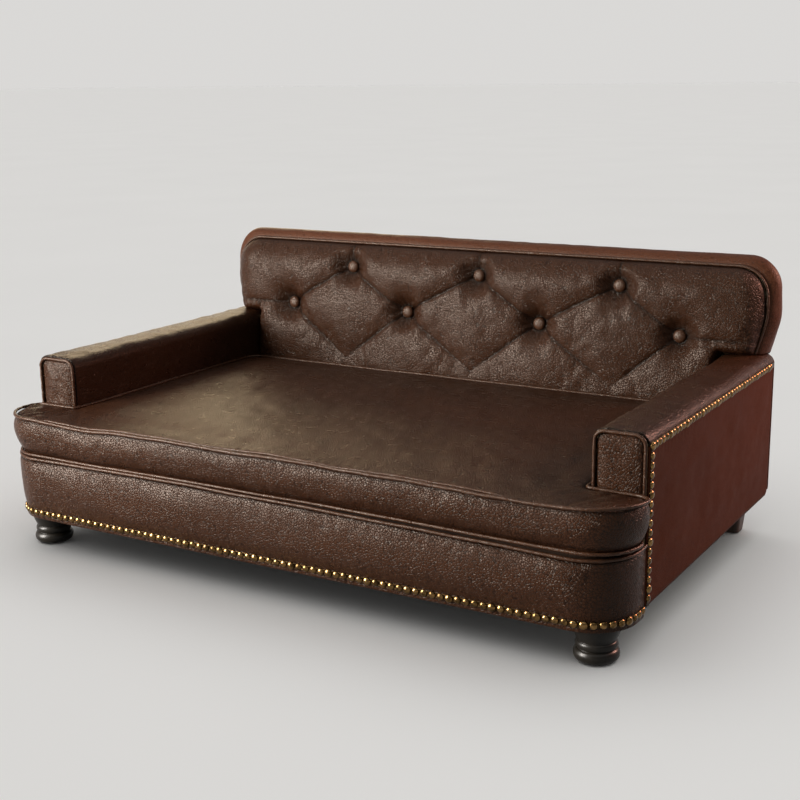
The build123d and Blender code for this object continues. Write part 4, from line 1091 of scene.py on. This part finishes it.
def make_pad():
    inset = 4.4
    spacing = 4.6
    centre_cols = int(2 * PAD_HALF / spacing) + 1
    centre = np.linspace(-PAD_HALF, PAD_HALF, centre_cols)
    wing = 11
    top = BACK_HEIGHT - inset
    below = np.linspace(-SEAT_DROP + 0.6, 0, 28)[:-1]
    above = np.linspace(0, top, 28)
    v_rows = np.concatenate([below, above])
    corner = BACK_CORNER - inset
    cols = centre_cols + 2 * wing
    x = np.empty((len(v_rows), cols))
    v = np.empty_like(x)
    for i, level in enumerate(v_rows):
        if level <= WAIST_HEIGHT:
            reach = FOOT_HALF + (WAIST_HALF - FOOT_HALF) * max(level, 0) / WAIST_HEIGHT - inset
        else:
            drawn_in = (WAIST_HALF - TOP_HALF) * (level - WAIST_HEIGHT) / (BACK_HEIGHT - WAIST_HEIGHT)
            reach = WAIST_HALF - drawn_in - inset
        share = np.linspace(0, 1, wing + 1)[1:]
        right = PAD_HALF + (reach - PAD_HALF) * share
        x[i] = np.concatenate([-right[::-1], centre, right])
        v[i] = level
    reach_top = TOP_HALF - inset
    x, v = round_corners(x, v, reach_top, top, corner)
    rows = len(v_rows)
    quads = grid_quads(rows, cols)
    r, c = quads[:, 0] // cols, quads[:, 0] % cols
    in_wing = (c < wing) | (c >= cols - 1 - wing)
    quads = quads[~(in_wing & (r < len(below)))]

    outline = resample(back_outline(inset, BACK_HEIGHT, foot=-20.0), 1500)[0]
    flat = np.column_stack([x.ravel(), v.ravel()])
    edge = nearest(flat, outline)
    foot = np.hypot(np.maximum(PAD_HALF - np.abs(flat[:, 0]), 0) * 1.6, np.maximum(flat[:, 1], 0) + 0.5)
    arm_edge = np.where(flat[:, 1] < 0, PAD_HALF - np.abs(flat[:, 0]), 999.0)

    def roll(distance, reach):
        t = np.clip(distance / reach, 0, 1)
        return np.power(np.clip(1 - (1 - t) ** 2.2, 0, 1), 0.62)

    base = 0.6 + 31.8 * roll(edge, 42)
    base = np.minimum(base, 3.0 + 30.0 * roll(foot, 15))
    base = np.minimum(base, 22.0 + 10.5 * roll(arm_edge, 8))
    buttons = UPPER_BUTTONS + LOWER_BUTTONS
    lines = creases()

    def valleys(px, pv):
        total = np.zeros_like(px)
        for start, end, depth, fades in lines:
            d, t = segment_distance(px, pv, start, end)
            strength = depth * (1 - smooth_step(t, 0.55, 1.0) * (0.75 if fades else 0.0))
            total = np.maximum(total, strength * 2.2 * np.exp(-(d / 13) ** 1.5))
        return total

    def dimples(px, pv):
        total = np.zeros_like(px)
        for bx, bv in buttons:
            r = np.hypot(px - bx, pv - bv)
            shape = np.where(r < 12, 1.0, (1 - smooth_step(r, 8, 58)) ** 2.5)
            total = np.maximum(total, (PAD_DEPTH - BUTTON_SEAT) * shape)
        return total

    px, pv = flat[:, 0], flat[:, 1]
    w = base - np.maximum(dimples(px, pv), valleys(px, pv))
    w = np.maximum(w, 0.6)
    front = on_seam_plane(px, pv, w)
    back = on_seam_plane(px, pv, np.full_like(w, 0.4))
    obj = closed_sheet("back_pad_tufted", front, back, quads)
    used = np.unique(quads)
    count = len(used)
    place = np.tile(flat[used], (2, 1))
    is_front = np.arange(2 * count) < count
    button_gap = np.min([np.hypot(place[:, 0] - bx, place[:, 1] - bv) for bx, bv in buttons], axis=0)
    crease_gap = np.min([segment_distance(place[:, 0], place[:, 1], s, e)[0] for s, e, _, _ in lines], axis=0)
    rim = np.minimum(np.minimum(edge, foot * 1.2), arm_edge)[used]
    rim = np.tile(rim, 2)
    free = is_front & (button_gap > 25) & (rim > 6) & (crease_gap > 3.0) & (place[:, 1] > -SEAT_DROP + 20)
    inflate(obj, ~free, 5.0, pressure=4.0, frames=16, slack=0.006)
    subdivide(obj)
    co = coordinates(obj)
    local = co - SEAM[None]
    px, pv, pw = co[:, 0], local @ SEAM_UP, local @ SEAM_OUT
    fronts = smooth_step(pw, 0.7, 1.6)
    on_plane = np.column_stack([px, pv])
    shift = fronts * (0.45 * waves(on_plane, 95, 81) + 0.2 * waves(on_plane, 30, 82))
    # Painted shade, stored as the crease attribute: dark along the creases, round each button, in its dimple
    # and along the rim
    dark = np.zeros(len(co))
    for start, end, depth, fades in lines:
        d, t = segment_distance(px, pv, start, end)
        wander = 1.3 * waves(np.column_stack([t * 130 + start[0], t * 0 + end[0]]), 70, 83)
        strength = depth * (1 - smooth_step(t, 0.6, 1.0) * (0.8 if fades else 0.0))
        cut = np.exp(-(np.abs(d - np.abs(wander) * 0.3) / 2.2) ** 1.3)
        shift -= fronts * strength * 3.0 * cut
        dark = np.maximum(dark, strength * bell(d, 0, 1.7))
    for k, (bx, bv) in enumerate(buttons):
        r = np.hypot(px - bx, pv - bv)
        angle = np.arctan2(pv - bv, px - bx)
        folds = np.cos(angle * 9 + 1.7 * np.sin(angle * 2 + k)) + 0.5 * np.cos(angle * 15 + k * 2.1)
        shift += fronts * 0.7 * folds * bell(r, 20, 8)
        # Painted shade: a dark ring at each button's edge and a broad dark halo in its dimple
        dark = np.maximum(dark, 0.9 * bell(r, 11.5, 2.0) + 0.5 * bell(r, 10, 13))
    for side in (-1, 1):
        gathered = bell(px, side * 436, 38) * smooth_step(21 - pv, 0, 5) * np.exp(-(21 - pv).clip(0) / 17)
        pull = 1.5 if side < 0 else 0.8
        shift += fronts * gathered * pull * waves(px[:, None] + 0.25 * pv[:, None], 13, 84)
    rim = nearest(on_plane, outline)
    shift += fronts * 0.4 * bell(rim, 12, 8) * waves(np.column_stack([px, pv * 0.4]), 17, 85)
    for ux, _ in UPPER_BUTTONS:
        beside = bell(np.abs(px - ux), 9, 5) * bell(rim, 14, 9)
        shift += fronts * 1.3 * beside
    # Painted shade along the rim beside the welt
    dark = np.maximum(dark, 0.8 * bell(rim, 0, 3.0))
    pw = np.maximum(pw + shift * smooth_step(rim, 1, 8), 0.4)
    move_to(obj, back_drift(on_seam_plane(px, pv, pw)))
    shade_attribute(obj, dark * fronts)
    stands_for(obj, tufted, "tufted_back_pad", "base")

    # Covered buttons
    rng = np.random.default_rng(8)
    parts = []
    crown = [(BUTTON_RADIUS * math.cos(t) ** 0.8, 0.9 + 5.6 * math.sin(t))
             for t in np.linspace(0.18, 1.45, 9)]
    profile = [(0, 0), (BUTTON_RADIUS - 0.5, 0), (BUTTON_RADIUS, 0.9)] + crown + [(0, 6.5)]
    for bx, bv in buttons:
        points, faces = lathe(profile, 40)
        angle = np.arctan2(points[:, 1], points[:, 0])
        r = np.hypot(points[:, 0], points[:, 1])
        rim_fold = 0.22 * np.cos(angle * 11 + rng.uniform(0, 6)) * smooth_step(r, 6.5, 10.5)
        points[:, 2] += rim_fold * (points[:, 2] > 0.1)
        origin = on_seam_plane(np.array([bx]), np.array([bv]), np.array([BUTTON_SEAT - 0.3]))[0]
        parts.append(placed((points, faces), origin, (1, 0, 0), SEAM_OUT))
    buttons_piece = gather("back_buttons_covered", parts)
    stands_for(buttons_piece, welt_leather, "back_buttons", "base")


make_pad()


def make_band():
    """The leather round the back's thickness, from the front welt to the rear panel, and its welt."""
    around, across = 420, 15
    sections = []
    for inset in (0.0, 3.6):
        seam_path = resample(back_outline(inset, BACK_HEIGHT, 0.0, inset), around)[0]
        middle = resample(back_outline(inset, 150.0, 12.0, inset), around)[0]
        rear = resample(back_outline(inset, 145.0, 3.0, inset), around)[0]
        seam_points = on_seam_plane(seam_path[:, 0], seam_path[:, 1], np.zeros(around))
        middle_y = BACK_FRONT + (BACK_REAR - BACK_FRONT) * 0.6
        middle_points, rear_points = (
            np.column_stack([line[:, 0], np.full(around, y), line[:, 1] + BACK_FOOT])
            for line, y in ((middle, middle_y), (rear, BACK_REAR)))
        rows = []
        for t in np.linspace(0, 1, across):
            a = (t - 0.6) * (t - 1) / 0.6
            b = t * (t - 1) / (0.6 * -0.4)
            c = t * (t - 0.6) / 0.4
            rows.append(a * seam_points + b * middle_points + c * rear_points)
        sections.append(np.array(rows))
    outer, inner = sections
    t = np.linspace(0, 1, across)[:, None]
    out = outer - inner
    out /= np.linalg.norm(out, axis=2)[..., None]
    length = np.tile(np.linspace(0, 1250, around), (across, 1))
    shift = (0.5 * waves(outer, 130, 91) + 0.25 * waves(outer * [1, 2, 1], 34, 92)) * np.sin(math.pi * t)
    edges = bell(t, 0.12, 0.09) + bell(t, 0.9, 0.08)
    shift += 0.3 * edges * waves(length[..., None], 14, 93)
    shift -= 1.4 * bell(t, 0, 0.045) + 1.2 * bell(t, 1, 0.05)
    outer = back_drift(outer + out * shift[..., None])
    obj = closed_sheet("back_band_leather", outer, back_drift(inner), grid_quads(across, around))
    stands_for(obj, band_leather, "back_band", "base")
    path = resample(back_outline(2.6, BACK_HEIGHT, 0.0, 2.4), 700)[0]
    points = back_drift(on_seam_plane(path[:, 0], path[:, 1], np.full(len(path), 2.6)))
    welt = tube("back_welt_cord", points, WELT, up=SEAM_OUT, seed=95)
    stands_for(welt, welt_leather, "back_welt", "base")


make_band()


def make_rear():
    """The plain leather over the rear of the upper back, drawn over its foam."""
    rows, cols = 44, 230
    corner = 47.0
    top = 144.6
    level = np.linspace(0.3, top, rows)
    reach = np.where(level < 58, 489 + 15 * level / 58, 504 - 4 * (level - 58) / 87)
    x = np.linspace(-1, 1, cols)[None] * reach[:, None]
    v = np.repeat(level[:, None], cols, axis=1)
    reach_top = 500.0
    x, v = round_corners(x, v, reach_top, top, corner)
    outline = resample(back_outline(0.4, 145.0, 3.0, 0.3), 1200)[0]
    base_line = np.column_stack([np.linspace(-488, 488, 600), np.full(600, 0.3)])
    flat = np.column_stack([x.ravel(), v.ravel()])
    edge = nearest(flat, np.vstack([outline, base_line])).reshape(x.shape)
    swell = 1.2 * smooth_step(edge, 0, 4) + 1.8 * smooth_step(edge, 2, 30)
    uneven = (0.6 * waves(flat, 150, 96) + 0.25 * waves(flat, 50, 97)).reshape(x.shape)
    swell += smooth_step(edge, 6, 40) * uneven
    front = np.stack([x, BACK_REAR + 0.2 + swell, v + BACK_FOOT], axis=-1)
    back = np.stack([x, np.full_like(x, BACK_REAR + 0.05), v + BACK_FOOT], axis=-1)
    obj = closed_sheet("upper_rear_leather", back_drift(front), back_drift(back), grid_quads(rows, cols))
    stands_for(obj, smooth_side, "upper_rear_panel", "base")
    dress(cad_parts["lower_rear_panel"], smooth_side)


make_rear()


# Nail trim

def dome(radius, height, segments, rings):
    profile = [(0, -0.6), (radius, -0.6)]
    profile += [(radius * math.cos(t), height * math.sin(t)) for t in np.linspace(0, math.pi / 2, rings)[:-1]]
    profile.append((0, height))
    return lathe(profile, segments)


def make_nails():
    small = dome(5.1, 2.9, 16, 6)
    large = dome(5.9, 3.9, 22, 8)
    real_nails = []

    def heads(places, first):
        beads = []
        for index, (origin, along, outward) in enumerate(places, first):
            if index % 5 == 2:
                real_nails.append(placed(large, origin, along, outward))
            else:
                beads.append(placed(small, origin, along, outward))
        return beads

    def strip(path, outward, up):
        """A thin stamped band with rounded edges and a ridge along each."""
        thickness, half = 0.9, 4.0
        shape = [(half, 0.05), (half, thickness * 0.8), (half - 0.7, thickness),
                 (half - 1.5, thickness * 0.55)]
        shape = [(-h, w) for h, w in shape] + [(0, thickness * 0.45)] + shape[::-1]
        rows = [path + outward * w + up * h for h, w in shape]
        points = np.array(rows)
        total, count = points.shape[:2]
        faces = [tuple(q) for q in grid_quads(total, count)]
        faces += [(k + 1, k, (total - 1) * count + k, (total - 1) * count + k + 1) for k in range(count - 1)]
        faces.append(tuple(k * count for k in range(total)))
        faces.append(tuple(k * count + count - 1 for k in range(total))[::-1])
        return points.reshape(-1, 3), faces

    def trim_pieces(name, band, beads):
        """The dark stamped band and its polished small heads, which stand for one strip."""
        for part_name, parts, material in (("band", [band], strip_brass), ("heads", beads, nail_brass)):
            obj = gather(f"{name}_nail_{part_name}", parts)
            stands_for(obj, material, name + "_nail_strip", "base")

    path = nose_outline(0.8, 0.8)
    flat, tangent, places, total = resample(path, 600)
    half_count = int(total / NAIL_PITCH / 2)
    rng = np.random.default_rng(5)
    spots = []
    for index in range(-half_count, half_count):
        at = (index + 0.5) * NAIL_PITCH + total / 2
        x, y = np.interp(at, places, flat[:, 0]), np.interp(at, places, flat[:, 1])
        tx, ty = np.interp(at, places, tangent[:, 0]), np.interp(at, places, tangent[:, 1])
        out = np.array([ty, -tx, 0])
        out /= np.linalg.norm(out)
        lift = rng.normal(0, 0.25)
        spots.append(((x, y, NAIL_LINE + lift), (tx, ty, 0), out + rng.normal(0, 0.045, 3)))
    beads = heads(spots, -half_count)
    outward = np.column_stack([tangent[:, 1], -tangent[:, 0]])
    path3 = np.column_stack([flat - 0.8 * outward, np.full(len(flat), NAIL_LINE)])
    out3 = np.column_stack([outward, np.zeros(len(flat))])
    band = strip(path3, out3, np.array([[0, 0, 1.0]]))
    trim_pieces("skirt", band, beads)

    column_y = ARM_FRONT + 6.0
    column_count = int((NAIL_ROW - BASE_BOTTOM) / NAIL_PITCH)
    row_count = int((BASE_REAR - 3 - column_y) / NAIL_PITCH)
    points = [(column_y, NAIL_ROW - (column_count - k) * NAIL_PITCH) for k in range(column_count)]
    points += [(column_y + k * NAIL_PITCH, NAIL_ROW) for k in range(row_count)]
    for side, side_name in ((1, "right"), (-1, "left")):
        spots = []
        for y, z in points:
            out = np.array([side, 0, 0]) + rng.normal(0, 0.045, 3)
            spots.append(((side * (HALF + 0.8), y, z), (0, 1, 0), out))
        beads = heads(spots, 2 - column_count)
        corner = rounded_path(
            [(column_y, BASE_BOTTOM + 0.5), (column_y, NAIL_ROW), (BOARD_REAR, NAIL_ROW)], [0, 4, 0])
        flat, tangent, _, _ = resample(corner, 260)
        path3 = np.column_stack([np.full(len(flat), side * HALF), flat])
        out3 = np.tile([[float(side), 0, 0]], (len(flat), 1))
        across = np.column_stack([np.zeros(len(flat)), -tangent[:, 1], tangent[:, 0]])
        band = strip(path3, out3, across)
        trim_pieces(side_name + "_side", band, beads)
    obj = gather("trim_nail_heads", real_nails)
    stands_for(obj, nail_brass, "trim_nails", "base")


make_nails()


# Feet

def make_feet():
    top = [(31.4, 61.2), (32.0, 60.4), (31.9, 56.0), (31.6, 51.0), (31.0, 46.0), (30.0, 41.6), (28.6, 37.6),
           (27.1, 34.2), (25.9, 31.4), (25.1, 29.4), (24.8, 28.6)]
    ring = [(25.2, 28.2), (26.1, 27.2), (26.8, 25.6), (27.0, 23.6), (26.8, 21.6), (26.2, 19.8), (25.3, 18.7)]
    bun = [(24.9, 18.2), (25.8, 17.8), (27.4, 16.4), (28.6, 14.4), (29.3, 12.2), (29.4, 10.2), (29.1, 8.0),
           (28.3, 5.8), (27.0, 3.9), (25.4, 2.6), (23.6, 2.0)]
    profile = [(0, 61.2)] + top + ring + bun + [(0, 2.0)]
    profile = profile[::-1]
    fine = [profile[0]]
    for (r0, z0), (r1, z1) in zip(profile[1:-2], profile[2:-1]):
        fine += [(r0, z0), ((r0 + r1) / 2, (z0 + z1) / 2)]
    fine += [profile[-2], profile[-1]]
    for side, side_name in ((1, "right"), (-1, "left")):
        points, faces = lathe(fine, 72)
        points = points + np.array([side * 463.0, ARM_FRONT - 42.0, 0])
        obj = gather("front_" + side_name + "_foot_turned", [(points, faces)])
        stands_for(obj, black_foot, "front_" + side_name + "_foot", "base")
        worn("rear_" + side_name + "_foot", brown_foot, "worn_edge", 0.0008)


make_feet()


# Zip in the cushion's rear

def make_zip():
    y = CUSHION_REAR
    z = (206.5 + 159.5) / 2
    rows = np.linspace(-12, 12, 13)
    xs = np.linspace(-380, 380, 153)
    grid_x, grid_z = np.meshgrid(xs, rows)
    flat = np.stack([grid_x, grid_z], axis=-1)
    lift = 0.75 + 0.12 * waves(flat, 25, 101)
    front = np.stack([grid_x, y + lift, z + grid_z], axis=-1)
    back = np.stack([grid_x, np.full_like(grid_x, y + 0.02), z + grid_z], axis=-1)
    tape = closed_sheet("zip_tape_cloth", front, back, grid_quads(len(rows), len(xs)))
    dress(tape, zip_tape)
    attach(tape, "seat_cushion")
    tooth = np.array([(-0.9, 0, -2.4), (0.9, 0, -2.4), (0.9, 0, 0.7), (-0.9, 0, 0.7),
                      (-0.6, 1.5, -2.0), (0.6, 1.5, -2.0), (0.6, 1.5, 0.4), (-0.6, 1.5, 0.4)], float)
    tooth_faces = [(0, 1, 2, 3), (7, 6, 5, 4), (0, 4, 5, 1), (1, 5, 6, 2), (2, 6, 7, 3), (3, 7, 4, 0)]
    parts = []
    for k, x in enumerate(np.arange(-378, 378.1, 1.4 * 1.5)):
        points = tooth.copy()
        if k % 2:
            points[:, 2] *= -1
        parts.append((points + np.array([x, y + 1.0, z]), tooth_faces))
    chain = gather("zip_chain_teeth", parts)
    chain.data.polygons.foreach_set("use_smooth", [False] * len(chain.data.polygons))
    stands_for(chain, zip_metal, "cushion_zip", "seat_cushion")
    worn("zip_slider", zip_metal, "soft_edge", 0.0004)


make_zip()
